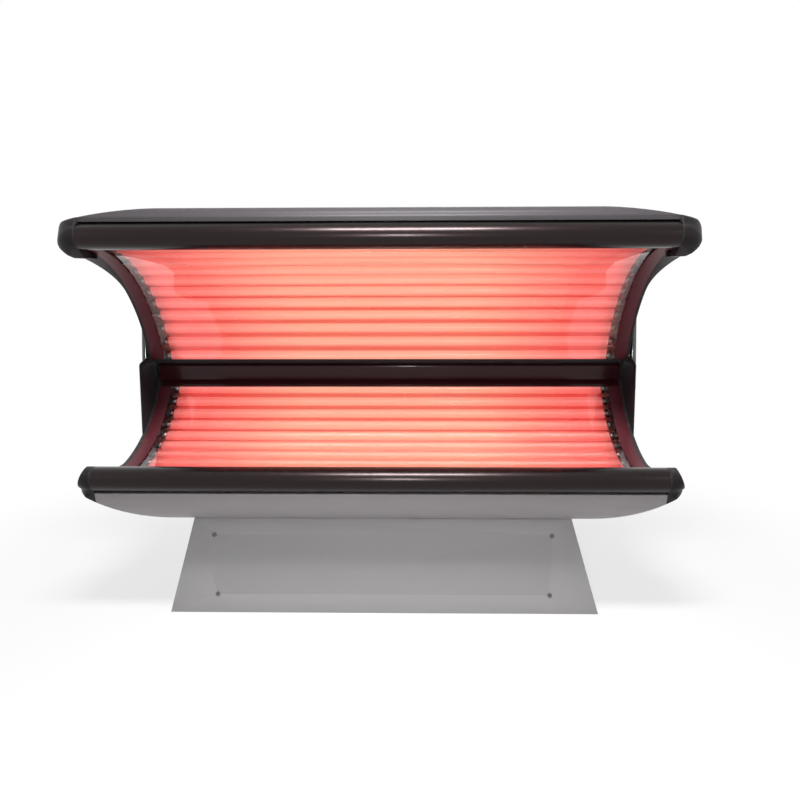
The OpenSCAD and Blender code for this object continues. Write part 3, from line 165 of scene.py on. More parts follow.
class Effect(Enum):
    """Surface effects that several finishes share, each one shader node group."""

    GRAIN = "surface_grain"
    MOTTLE = "tone_mottle"
    SMUDGE = "handling_smudges"
    EDGE_WEAR = "edge_wear"
    DUST = "settled_dust"


class EffectLibrary:
    """Builds each shared effect once, as a shader node group."""

    # Octaves of each effect's noise
    GRAIN_DETAIL, MOTTLE_DETAIL, SMUDGE_DETAIL, DUST_DETAIL = 3.0, 4.0, 5.0, 6.0
    # Noise values between which the second colour comes in
    MOTTLE_RANGE = (0.35, 0.7)
    # Upward part of the normal between which dust settles, and the noise of its specks
    DUST_FACING = (0.35, 0.95)
    DUST_SPECKS = (0.3, 0.8)
    DUST_SCALE = 60.0

    def __init__(self) -> None:
        """Starts with no group built."""
        self.groups: dict[Effect, bpy.types.NodeTree] = {}

    def group(self, effect: Effect) -> bpy.types.NodeTree:
        """Builds an effect's node group when it is first asked for.

        Args:
            effect: The effect.

        Returns:
            The group.
        """
        if effect not in self.groups:
            tree = bpy.data.node_groups.new(effect.value, "ShaderNodeTree")
            getattr(self, "_" + effect.name.lower())(tree)
            self.groups[effect] = tree
        return self.groups[effect]

    @staticmethod
    def _sockets(tree: bpy.types.NodeTree, inputs: Sequence[tuple[str, str, object]],
                 outputs: Sequence[tuple[str, str]]) -> tuple[Wiring, dict, dict]:
        """Declares a group's sockets.

        Args:
            tree: The group.
            inputs: Name, kind and starting value of each input.
            outputs: Name and kind of each output.

        Returns:
            The wiring, the group's inputs by name and the group's outputs by name.
        """
        for name, kind, value in inputs:
            socket = tree.interface.new_socket(name, in_out="INPUT", socket_type="NodeSocket" + kind)
            if value is not None:
                socket.default_value = value
        for name, kind in outputs:
            tree.interface.new_socket(name, in_out="OUTPUT", socket_type="NodeSocket" + kind)
        wiring = Wiring(tree)
        source = wiring.add("NodeGroupInput")
        target = wiring.add("NodeGroupOutput")
        return wiring, source.outputs, target.inputs

    @staticmethod
    def _noise(w: Wiring, vector: object, scale: object, detail: float) -> bpy.types.NodeSocket:
        """Adds a noise texture.

        Args:
            w: Wiring of the group.
            vector: Coordinates.
            scale: Scale of the noise.
            detail: Octaves of the noise.

        Returns:
            The noise value.
        """
        noise = w.add("ShaderNodeTexNoise")
        w.put(noise.inputs["Vector"], vector)
        w.put(noise.inputs["Scale"], scale)
        noise.inputs["Detail"].default_value = detail
        return noise.outputs["Fac"]

    def _grain(self, tree: bpy.types.NodeTree) -> None:
        """Wires a fine height grain that can be stretched along the bed.

        Args:
            tree: The group.
        """
        w, given, out = self._sockets(
            tree, [("Vector", "Vector", None), ("Scale", "Float", 400.0), ("Stretch", "Float", 1.0)],
            [("Height", "Float")])
        parts = w.add("ShaderNodeSeparateXYZ")
        w.put(parts.inputs[0], given["Vector"])
        joined = w.add("ShaderNodeCombineXYZ")
        w.put(joined.inputs[0], w.math("DIVIDE", parts.outputs[0], given["Stretch"]))
        w.put(joined.inputs[1], parts.outputs[1])
        w.put(joined.inputs[2], parts.outputs[2])
        w.put(out["Height"], self._noise(w, joined.outputs[0], given["Scale"], self.GRAIN_DETAIL))

    def _mottle(self, tree: bpy.types.NodeTree) -> None:
        """Wires a slow change of tone over a surface.

        Args:
            tree: The group.
        """
        w, given, out = self._sockets(
            tree, [("Vector", "Vector", None), ("Colour", "Color", (1, 1, 1, 1)),
                   ("Second Colour", "Color", (0, 0, 0, 1)), ("Scale", "Float", 3.0),
                   ("Amount", "Float", 0.2)], [("Colour", "Color")])
        noise = self._noise(w, given["Vector"], given["Scale"], self.MOTTLE_DETAIL)
        share = w.ramp(noise, *self.MOTTLE_RANGE)
        w.put(out["Colour"], w.blend(w.math("MULTIPLY", share, given["Amount"]), given["Colour"],
                                     given["Second Colour"]))

    def _smudge(self, tree: bpy.types.NodeTree) -> None:
        """Wires a roughness that changes where hands and cloths have been.

        Args:
            tree: The group.
        """
        w, given, out = self._sockets(
            tree, [("Vector", "Vector", None), ("Roughness", "Float", 0.3), ("Amount", "Float", 0.1),
                   ("Scale", "Float", 7.0)], [("Roughness", "Float")])
        noise = self._noise(w, given["Vector"], given["Scale"], self.SMUDGE_DETAIL)
        change = w.math("SUBTRACT", noise, 0.5)
        w.put(out["Roughness"], w.math("MULTIPLY_ADD", change, given["Amount"], given["Roughness"]))

    def _edge_wear(self, tree: bpy.types.NodeTree) -> None:
        """Wires the brighter colour of rounded edges.

        Args:
            tree: The group.
        """
        w, given, out = self._sockets(
            tree, [("Edge", "Float", 0.0), ("Colour", "Color", (1, 1, 1, 1)),
                   ("Edge Colour", "Color", (1, 1, 1, 1)), ("Amount", "Float", 0.5)],
            [("Colour", "Color")])
        share = w.math("MULTIPLY", given["Edge"], given["Amount"])
        w.put(out["Colour"], w.blend(share, given["Colour"], given["Edge Colour"]))

    def _dust(self, tree: bpy.types.NodeTree) -> None:
        """Wires thin dust on faces that look up.

        Args:
            tree: The group.
        """
        w, given, out = self._sockets(
            tree, [("Vector", "Vector", None), ("Normal", "Vector", None), ("Amount", "Float", 0.1)],
            [("Mask", "Float")])
        parts = w.add("ShaderNodeSeparateXYZ")
        w.put(parts.inputs[0], given["Normal"])
        up = w.ramp(parts.outputs[2], *self.DUST_FACING)
        noise = self._noise(w, given["Vector"], self.DUST_SCALE, self.DUST_DETAIL)
        spots = w.ramp(noise, *self.DUST_SPECKS)
        w.put(out["Mask"], w.math("MULTIPLY", w.math("MULTIPLY", up, spots), given["Amount"]))


EFFECTS = EffectLibrary()


@dataclass(frozen=True)
class Finish:
    """One finish of the bed, made as a node material when first asked for.

    The colours are linear. Lengths of the pattern are given as scales of the noise per metre.
    """

    name: str
    slot: str
    colour: Colour
    second: Colour
    roughness: float
    metallic: float = 0.0
    mottle: float = 0.3
    mottle_scale: float = 3.0
    grain_scale: float = 500.0
    grain_stretch: float = 1.0
    grain_height: float = 0.02
    smudge: float = 0.1
    dust: float = 0.0
    edge_colour: Colour = (0.3, 0.3, 0.3)
    edge_amount: float = 0.0
    coat: float = 0.0
    coat_roughness: float = 0.1
    specular: float = 0.5
    anisotropic: float = 0.0
    ior: float = 1.5

    def material(self) -> bpy.types.Material:
        """Builds the finish's material when it is first asked for.

        Returns:
            The material.
        """
        ready = bpy.data.materials.get(self.name)
        if ready is not None:
            return ready
        material = bpy.data.materials.new(self.name)
        material.use_nodes = True
        material.node_tree.nodes.clear()
        self._wire(Wiring(material.node_tree))
        return material

    @staticmethod
    def _effect(w: Wiring, effect: Effect, **values: object) -> bpy.types.NodeSocket:
        """Places a shared effect.

        Args:
            w: Wiring of the material.
            effect: The effect.
            values: Its inputs by name, with spaces written as underscores.

        Returns:
            The effect's only output.
        """
        node = w.add("ShaderNodeGroup", node_tree=EFFECTS.group(effect))
        for name, value in values.items():
            w.put(node.inputs[name.replace("_", " ")], value)
        return node.outputs[0]

    def _base_colour(self, w: Wiring, place: bpy.types.NodeSocket,
                     normal: bpy.types.NodeSocket) -> bpy.types.NodeSocket:
        """Wires the surface colour with mottle, bright edges and dust.

        Args:
            w: Wiring of the material.
            place: Object coordinates.
            normal: The surface's normal.

        Returns:
            The colour.
        """
        colour = self._effect(w, Effect.MOTTLE, Vector=place, Colour=rgba(self.colour),
                              Second_Colour=rgba(self.second), Scale=self.mottle_scale,
                              Amount=self.mottle)
        if self.edge_amount:
            edge = w.add("ShaderNodeAttribute", attribute_name="edge")
            colour = self._effect(w, Effect.EDGE_WEAR, Edge=edge.outputs["Fac"], Colour=colour,
                                  Edge_Colour=rgba(self.edge_colour), Amount=self.edge_amount)
        if self.dust:
            mask = self._effect(w, Effect.DUST, Vector=place, Normal=normal, Amount=self.dust)
            colour = w.blend(mask, colour, DUST_COLOUR)
        return colour

    def _wire(self, w: Wiring) -> None:
        """Joins the finish's nodes from coordinates to the surface.

        Args:
            w: Wiring of the material.
        """
        out = w.add("ShaderNodeOutputMaterial")
        skin = w.add("ShaderNodeBsdfPrincipled")
        place = w.add("ShaderNodeTexCoord")
        at, normal = place.outputs["Object"], place.outputs["Normal"]
        w.put(skin.inputs["Base Color"], self._base_colour(w, at, normal))
        w.put(skin.inputs["Roughness"], self._effect(w, Effect.SMUDGE, Vector=at, Amount=self.smudge,
                                                     Roughness=self.roughness))
        height = self._effect(w, Effect.GRAIN, Vector=at, Scale=self.grain_scale,
                              Stretch=self.grain_stretch)
        bump = w.add("ShaderNodeBump")
        w.put(bump.inputs["Height"], height)
        bump.inputs["Strength"].default_value = self.grain_height
        bump.inputs["Distance"].default_value = MM
        w.put(skin.inputs["Normal"], bump.outputs[0])
        skin.inputs["Metallic"].default_value = self.metallic
        skin.inputs["Specular IOR Level"].default_value = self.specular
        skin.inputs["IOR"].default_value = self.ior
        skin.inputs["Anisotropic"].default_value = self.anisotropic
        skin.inputs["Coat Weight"].default_value = self.coat
        skin.inputs["Coat Roughness"].default_value = self.coat_roughness
        self._extra(w, skin, at)
        w.put(out.inputs["Surface"], skin.outputs[0])

    def _extra(self, w: Wiring, skin: bpy.types.Node, place: bpy.types.NodeSocket) -> None:
        """Adds nothing here: finishes with light or clear bodies add their own inputs."""


@dataclass(frozen=True)
class ClearFinish(Finish):
    """Clear sheet that shows what lies behind it."""

    def _extra(self, w: Wiring, skin: bpy.types.Node, place: bpy.types.NodeSocket) -> None:
        """Lets light through the body."""
        skin.inputs["Transmission Weight"].default_value = 1.0


@dataclass(frozen=True)
class GlowFinish(Finish):
    """Phosphor-coated glass that glows, redder towards the lamp's ends, and darker and redder where its
    surface turns from the view: painted shade on the tube's sides.

    The starts and ends of the changes along the lamp are distances from its middle in metres.
    """

    middle: Colour = (1.0, 0.4, 0.265)
    end: Colour = (0.98, 0.14, 0.13)
    # Painted shade on the tube's sides: colour and amount of the darker, redder glow where the surface
    # turns from the view
    rim: Colour = (0.84, 0.15, 0.13)
    rim_amount: float = 0.9
    rim_start: float = 0.2
    rim_end: float = 0.7
    tip: Colour = (0.4, 0.04, 0.045)
    tip_amount: float = 0.7
    tip_start: float = 0.8
    tip_end: float = 0.866
    strength: float = 0.88
    fade_start: float = 0.25
    fade_end: float = 0.84

    def _extra(self, w: Wiring, skin: bpy.types.Node, place: bpy.types.NodeSocket) -> None:
        """Adds the glow along the lamp.

        Args:
            w: Wiring of the material.
            skin: Its Principled BSDF.
            place: Object coordinates.
        """
        parts = w.add("ShaderNodeSeparateXYZ")
        w.put(parts.inputs[0], place)
        away = w.math("ABSOLUTE", parts.outputs[0])
        glow = w.blend(w.ramp(away, self.fade_start, self.fade_end), self.middle, self.end)
        # Painted shade: the glow turns darker and redder where the tube's surface turns from the view
        turned = w.add("ShaderNodeLayerWeight")
        turned.inputs["Blend"].default_value = 0.5
        rim = w.ramp(turned.outputs["Facing"], self.rim_start, self.rim_end, 0.0, self.rim_amount)
        glow = w.blend(rim, glow, self.rim)
        tip = w.ramp(away, self.tip_start, self.tip_end, 0.0, self.tip_amount)
        glow = w.blend(tip, glow, self.tip)
        w.put(skin.inputs["Emission Color"], glow)
        skin.inputs["Emission Strength"].default_value = self.strength


# Finishes: name, slot, both colours, roughness, then what sets the finish apart
PANEL = Finish("panel_grey_paint", "panel_paint", (0.104, 0.101, 0.101), (0.077, 0.074, 0.074), 0.46,
               mottle=0.5, mottle_scale=1.6, grain_scale=700.0, grain_height=0.06, dust=0.2,
               edge_colour=(0.42, 0.41, 0.41), edge_amount=0.5)
SKIRT = Finish("skirt_grey_paint", "panel_paint", (0.094, 0.075, 0.081), (0.058, 0.046, 0.05), 0.44,
               mottle=0.4, mottle_scale=1.5, grain_scale=700.0, grain_height=0.05, dust=0.1,
               edge_colour=(0.4, 0.38, 0.39), edge_amount=0.4)
FRAME = Finish("frame_black_paint", "frame_paint", (0.03, 0.03, 0.032), (0.05, 0.045, 0.04), 0.45,
               grain_height=0.08, dust=0.3, edge_colour=(0.12, 0.12, 0.12), edge_amount=0.5)
# Painted shade: the galvanised sheet is darkened to the black of the shaded lamp ends
ZINC = Finish("galvanised_sheet_painted_shade", "zinc", (0.075, 0.074, 0.076), (0.05, 0.05, 0.053), 0.4,
              metallic=1.0, mottle=0.6, mottle_scale=38.0, grain_scale=160.0, grain_height=0.03)
BLACK_SCREW = Finish("screw_black_oxide", "screw_black", (0.02, 0.02, 0.02), (0.04, 0.035, 0.03),
                     0.38, metallic=0.6, edge_colour=(0.16, 0.16, 0.16), edge_amount=0.7)
GEAR = Finish("gear_black_moulding", "gear_plastic", (0.03, 0.03, 0.03), (0.045, 0.045, 0.045),
              0.5, grain_scale=900.0, grain_height=0.1, dust=0.3)
TERMINAL = Finish("terminal_white_moulding", "terminal_plastic", (0.75, 0.73, 0.68),
                  (0.6, 0.57, 0.5), 0.45, grain_scale=900.0, grain_height=0.05)
RAIL = Finish("rail_satin_bronze", "rail_finish", (0.013, 0.0055, 0.006), (0.009, 0.0035, 0.004), 0.3,
              metallic=1.0, coat=0.42, coat_roughness=0.24, mottle=0.4, mottle_scale=2.5,
              grain_scale=900.0, grain_stretch=60.0, grain_height=0.05, smudge=0.08, anisotropic=0.3,
              dust=0.02)
# Painted red glow: the gloss black band's red tint stands for the red light of the lamps
GLOSS_BAND = Finish("band_gloss_black_painted_red_glow", "band_gloss", (0.03, 0.006, 0.008), (0.04, 0.009, 0.011),
                    0.2, specular=0.16, grain_scale=300.0, grain_height=0.01, smudge=0.1, coat=0.1,
                    coat_roughness=0.08)
CAP = Finish("cap_black_moulding", "cap_plastic", (0.009, 0.007, 0.008), (0.015, 0.012, 0.013), 0.4,
             specular=0.12, grain_scale=1100.0, grain_height=0.09, smudge=0.12, dust=0.08,
             edge_colour=(0.05, 0.045, 0.05), edge_amount=0.4)
# Painted red glow: the trims are dark mouldings whose red colour stands for the lamps' red light
TRIM = Finish("trim_dark_moulding_painted_red_glow", "trim_plastic", (0.085, 0.017, 0.023), (0.06, 0.012, 0.017),
              0.42, specular=0.16, grain_scale=1000.0, grain_height=0.08, mottle_scale=5.0)
ACRYLIC = ClearFinish("acrylic_clear", "acrylic", (1.0, 0.965, 0.955), (1.0, 0.98, 0.97), 0.015,
                      grain_scale=40.0, grain_height=0.0, smudge=0.01, ior=1.49)
# Painted lamp glow: the reflector's red tint stands for the lamps' red light on bright aluminium
REFLECTOR = Finish("reflector_anodised_painted_lamp_glow", "reflector", (0.82, 0.42, 0.40),
                   (0.76, 0.36, 0.34), 0.3, metallic=0.85, grain_scale=600.0, grain_stretch=40.0,
                   grain_height=0.04)
GLASS = GlowFinish("lamp_phosphor_glass", "lamp_glass", (0.4, 0.16, 0.13), (0.34, 0.13, 0.11), 0.2,
                   mottle_scale=12.0, grain_scale=900.0, grain_height=0.02, coat=1.0,
                   coat_roughness=0.14)
# Painted shade and red glow: the aluminium lamp caps are darkened and tinted red for the shaded, red-lit
# lamp ends
LAMP_METAL = Finish("lamp_aluminium_painted_shade_and_glow", "lamp_metal", (0.24, 0.2, 0.2), (0.15, 0.125, 0.125),
                    0.2, metallic=1.0, mottle_scale=30.0, grain_scale=500.0, grain_height=0.04)
# The lampholders are given a dark colour, matched to the dark lamp ends
HOLDER = Finish("holder_dark_moulding", "holder_plastic", (0.05, 0.038, 0.038),
                (0.03, 0.024, 0.024), 0.3, mottle_scale=40.0, grain_scale=900.0, grain_height=0.04)
BALLAST = Finish("ballast_white_enamel", "ballast_paint", (0.68, 0.67, 0.62), (0.55, 0.53, 0.48),
                 0.4, grain_scale=600.0, grain_height=0.05, dust=0.4)
BRIGHT = Finish("bright_zinc_steel", "steel_bright", (0.52, 0.52, 0.54), (0.42, 0.41, 0.4), 0.28,
                metallic=1.0, mottle_scale=50.0, grain_scale=800.0, grain_height=0.04,
                edge_colour=(0.75, 0.75, 0.75), edge_amount=0.5)
STRUT_BLACK = Finish("strut_gloss_black", "strut_black", (0.012, 0.012, 0.013),
                     (0.02, 0.02, 0.022), 0.18, coat=0.7, coat_roughness=0.06, grain_scale=500.0,
                     grain_height=0.02)
CHROME = Finish("strut_hard_chrome", "strut_chrome", (0.72, 0.73, 0.75), (0.62, 0.63, 0.65), 0.1,
                metallic=1.0, mottle_scale=60.0, grain_scale=900.0, grain_height=0.01, smudge=0.05)
SHELL = Finish("shell_satin_charcoal", "shell_finish", (0.028, 0.023, 0.026), (0.018, 0.015, 0.017),
               0.4, specular=0.16, mottle=0.4, mottle_scale=2.0, grain_scale=800.0, grain_height=0.05,
               smudge=0.1, dust=0.05, edge_colour=(0.1, 0.095, 0.1), edge_amount=0.3)

# Finish of each material slot, for nodes that are carried over as they are
SLOT_FINISH = {f.slot: f for f in (PANEL, FRAME, ZINC, BLACK_SCREW, GEAR, TERMINAL, RAIL, GLOSS_BAND,
                                   CAP, TRIM, ACRYLIC, REFLECTOR, GLASS, LAMP_METAL, HOLDER, BALLAST,
                                   BRIGHT, STRUT_BLACK, CHROME, SHELL)}


def new_piece(name: str, mesh: bpy.types.Mesh) -> bpy.types.Object:
    """Links a new object for a mesh whose points are already in place.

    Args:
        name: Name of the object.
        mesh: Its mesh.

    Returns:
        The object.
    """
    piece = bpy.data.objects.new(name, mesh)
    bpy.context.scene.collection.objects.link(piece)
    return piece


def mark_edges(bm: bmesh.types.BMesh, worn: Iterable[bmesh.types.BMVert], sharp_angle: float) -> None:
    """Writes the edge attribute and the smooth shading of a mesh.

    Args:
        bm: The mesh.
        worn: Points on rounded edges.
        sharp_angle: Edges that turn by more than this stay sharp.
    """
    layer = bm.verts.layers.float.get("edge") or bm.verts.layers.float.new("edge")
    for vert in worn:
        vert[layer] = 1.0
    for face in bm.faces:
        face.smooth = True
    for edge in bm.edges:
        edge.smooth = len(edge.link_faces) == 2 and edge.calc_face_angle(0.0) < sharp_angle


@dataclass(frozen=True)
class Rounding:
    """How the corners of a carried-over solid are rounded."""

    width: float = 0.8 * MM
    segments: int = 2
    angle: float = math.radians(28)


def rounded_mesh(node: str, rounding: Rounding) -> bpy.types.Mesh:
    """Copies a node of the frame and rounds its corners.

    Args:
        node: The node.
        rounding: Width, segments and least angle of the rounded corners.

    Returns:
        The new mesh, named after the node.
    """
    bm = bmesh.new()
    bm.from_mesh(frame["nodes"][node].data)
    bm.verts.layers.float.new("edge")
    bmesh.ops.remove_doubles(bm, verts=bm.verts, dist=WELD)
    bmesh.ops.dissolve_limit(bm, angle_limit=FLAT_ANGLE, verts=bm.verts, edges=bm.edges)
    bmesh.ops.dissolve_degenerate(bm, edges=bm.edges, dist=SHORTEST_EDGE)
    corners = [e for e in bm.edges
               if len(e.link_faces) == 2 and e.calc_face_angle(0.0) > rounding.angle]
    worn: set[bmesh.types.BMVert] = set()
    if corners:
        made = bmesh.ops.bevel(bm, geom=corners, offset=rounding.width, offset_type="OFFSET",
                               segments=rounding.segments, profile=0.5, affect="EDGES",
                               clamp_overlap=True)
        worn = {v for f in made["faces"] for v in f.verts}
    mark_edges(bm, worn, NODE_SHARP)
    mesh = bpy.data.meshes.new(node)
    bm.to_mesh(mesh)
    bm.free()
    return mesh


def body_of_node(node: str) -> str:
    """Returns the name of the body that a node of the frame belongs to."""
    bodies = frame["record"]["behaviour"]["bodies"]
    return next(body for body, nodes in bodies.items() if node in nodes)


def settle(piece: bpy.types.Object, finish: Finish, body: str, *nodes: str) -> None:
    """Gives a new piece its material and body, and hides the nodes that it stands for.

    Args:
        piece: The piece.
        finish: Its finish.
        body: The body that it rides on.
        nodes: Nodes that it replaces.
    """
    if not piece.data.materials:
        piece.data.materials.append(finish.material())
    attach(piece, body)
    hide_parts(*nodes)
    LOG.info("%s: %d faces on %s", piece.name, len(piece.data.polygons), body)


def refine(node: str, finish: Finish, rounding: Rounding) -> None:
    """Replaces a node with a copy that has rounded corners and smooth curves.

    Args:
        node: The node.
        finish: Finish of the copy.
        rounding: Rounding of its corners.
    """
    piece = new_piece(node + "_finished", rounded_mesh(node, rounding))
    settle(piece, finish, body_of_node(node), node)


def lathe(profile: Sequence[Point2], sides: int) -> bmesh.types.BMesh:
    """Turns a profile about X.

    Args:
        profile: Places along X and radii, from one end to the other.
        sides: Faces round the axis.

    Returns:
        The closed turned mesh, with its ends capped.
    """
    bm = bmesh.new()
    rings = []
    turn = [2 * math.pi * k / sides for k in range(sides)]
    for x, radius in profile:
        rings.append([bm.verts.new((x, radius * math.cos(t), radius * math.sin(t))) for t in turn])
    for low, high in zip(rings, rings[1:]):
        for k in range(sides):
            n = (k + 1) % sides
            bm.faces.new((low[k], low[n], high[n], high[k]))
    bm.faces.new(rings[0])
    bm.faces.new(reversed(rings[-1]))
    bmesh.ops.recalc_face_normals(bm, faces=bm.faces)
    return bm


def bar(bm: bmesh.types.BMesh, low: Sequence[float], high: Sequence[float], width: float,
        segments: int = 2) -> None:
    """Adds a block with rounded corners.

    Args:
        bm: Mesh that it is added to.
        low: Lowest corner.
        high: Highest corner.
        width: Width of the rounding.
        segments: Segments of the rounding.
    """
    made = bmesh.ops.create_cube(bm, size=1.0)
    for vert in made["verts"]:
        vert.co = Vector([low[i] + (vert.co[i] + 0.5) * (high[i] - low[i]) for i in range(3)])
    edges = list({e for v in made["verts"] for e in v.link_edges})
    bmesh.ops.bevel(bm, geom=edges, offset=width, segments=segments, profile=0.5, affect="EDGES",
                    clamp_overlap=True)


def join_into(bm: bmesh.types.BMesh, other: bmesh.types.BMesh, place: Matrix = Matrix()) -> None:
    """Moves another mesh into bm.

    Args:
        bm: Mesh that grows.
        other: Mesh that is used up.
        place: Where it goes.
    """
    bmesh.ops.transform(other, matrix=place, verts=other.verts)
    scratch = bpy.data.meshes.new("scratch")
    other.to_mesh(scratch)
    other.free()
    bm.from_mesh(scratch)
    bpy.data.meshes.remove(scratch)


def to_mesh(bm: bmesh.types.BMesh, name: str) -> bpy.types.Mesh:
    """Shades bm smooth up to the angle for new meshes and keeps it as a mesh.

    Args:
        bm: Mesh that is used up.
        name: Name of the new mesh.

    Returns:
        The new mesh.
    """
    mark_edges(bm, (), NEW_SHARP)
    mesh = bpy.data.meshes.new(name)
    bm.to_mesh(mesh)
    bm.free()
    return mesh


class ArcRow:
    """Geometry node tree that repeats a piece in a row along an arc about X."""

    NUMBERS = ("Centre Y", "Centre Z", "Radius", "First Angle", "Step Angle")
    _tree: Optional[bpy.types.NodeTree] = None

    @classmethod
    def tree(cls) -> bpy.types.NodeTree:
        """Builds the tree when it is first asked for.

        Returns:
            The tree.
        """
        if cls._tree is None:
            cls._tree = cls._build()
        return cls._tree

    @classmethod
    def _build(cls) -> bpy.types.NodeTree:
        """Builds the tree with its named inputs.

        Returns:
            The tree.
        """
        tree = bpy.data.node_groups.new("row_on_arc", "GeometryNodeTree")
        face = tree.interface
        face.new_socket("Geometry", in_out="INPUT", socket_type="NodeSocketGeometry")
        face.new_socket("Count", in_out="INPUT", socket_type="NodeSocketInt")
        for name in cls.NUMBERS:
            face.new_socket(name, in_out="INPUT", socket_type="NodeSocketFloat")
        face.new_socket("Material", in_out="INPUT", socket_type="NodeSocketMaterial")
        face.new_socket("Geometry", in_out="OUTPUT", socket_type="NodeSocketGeometry")
        w = Wiring(tree)
        given = w.add("NodeGroupInput").outputs
        out = w.add("NodeGroupOutput").inputs
        line = w.add("GeometryNodeMeshLine")
        w.put(line.inputs["Count"], given["Count"])
        index = w.add("GeometryNodeInputIndex").outputs[0]
        angle = w.math("MULTIPLY_ADD", index, given["Step Angle"], given["First Angle"])
        place = w.add("ShaderNodeCombineXYZ")
        for slot, turn, centre in ((1, "COSINE", "Centre Y"), (2, "SINE", "Centre Z")):
            reach = w.math("MULTIPLY_ADD", w.math(turn, angle), given["Radius"], given[centre])
            w.put(place.inputs[slot], reach)
        move = w.add("GeometryNodeSetPosition")
        w.put(move.inputs["Geometry"], line.outputs[0])
        w.put(move.inputs["Position"], place.outputs[0])
        turned = w.add("ShaderNodeCombineXYZ")
        w.put(turned.inputs[0], angle)
        copies = w.add("GeometryNodeInstanceOnPoints")
        w.put(copies.inputs["Points"], move.outputs[0])
        w.put(copies.inputs["Instance"], given["Geometry"])
        w.put(copies.inputs["Rotation"], turned.outputs[0])
        real = w.add("GeometryNodeRealizeInstances")
        w.put(real.inputs[0], copies.outputs[0])
        paint = w.add("GeometryNodeSetMaterial")
        w.put(paint.inputs["Geometry"], real.outputs[0])
        w.put(paint.inputs["Material"], given["Material"])
        w.put(out[0], paint.outputs[0])
        return tree


def grow(name: str, mesh: bpy.types.Mesh, tree: bpy.types.NodeTree,
         values: dict[str, object]) -> bpy.types.Object:
    """Runs a geometry node tree on a mesh and keeps the plain result.

    Args:
        name: Name of the new piece.
        mesh: Mesh that the tree starts from.
        tree: The geometry node tree.
        values: The tree's inputs by name.

    Returns:
        The new piece, with no modifier left.
    """
    seed = new_piece(name + "_seed", mesh)
    modifier = seed.modifiers.new("grow", "NODES")
    modifier.node_group = tree
    for item in tree.interface.items_tree:
        if item.in_out == "INPUT" and item.name in values:
            modifier[item.identifier] = values[item.name]
    depsgraph = bpy.context.evaluated_depsgraph_get()
    depsgraph.update()
    result = bpy.data.meshes.new_from_object(seed.evaluated_get(depsgraph),
                                             preserve_all_data_layers=True, depsgraph=depsgraph)
    result.name = name
    seed.modifiers.clear()
    bpy.data.objects.remove(seed)
    return new_piece(name, result)


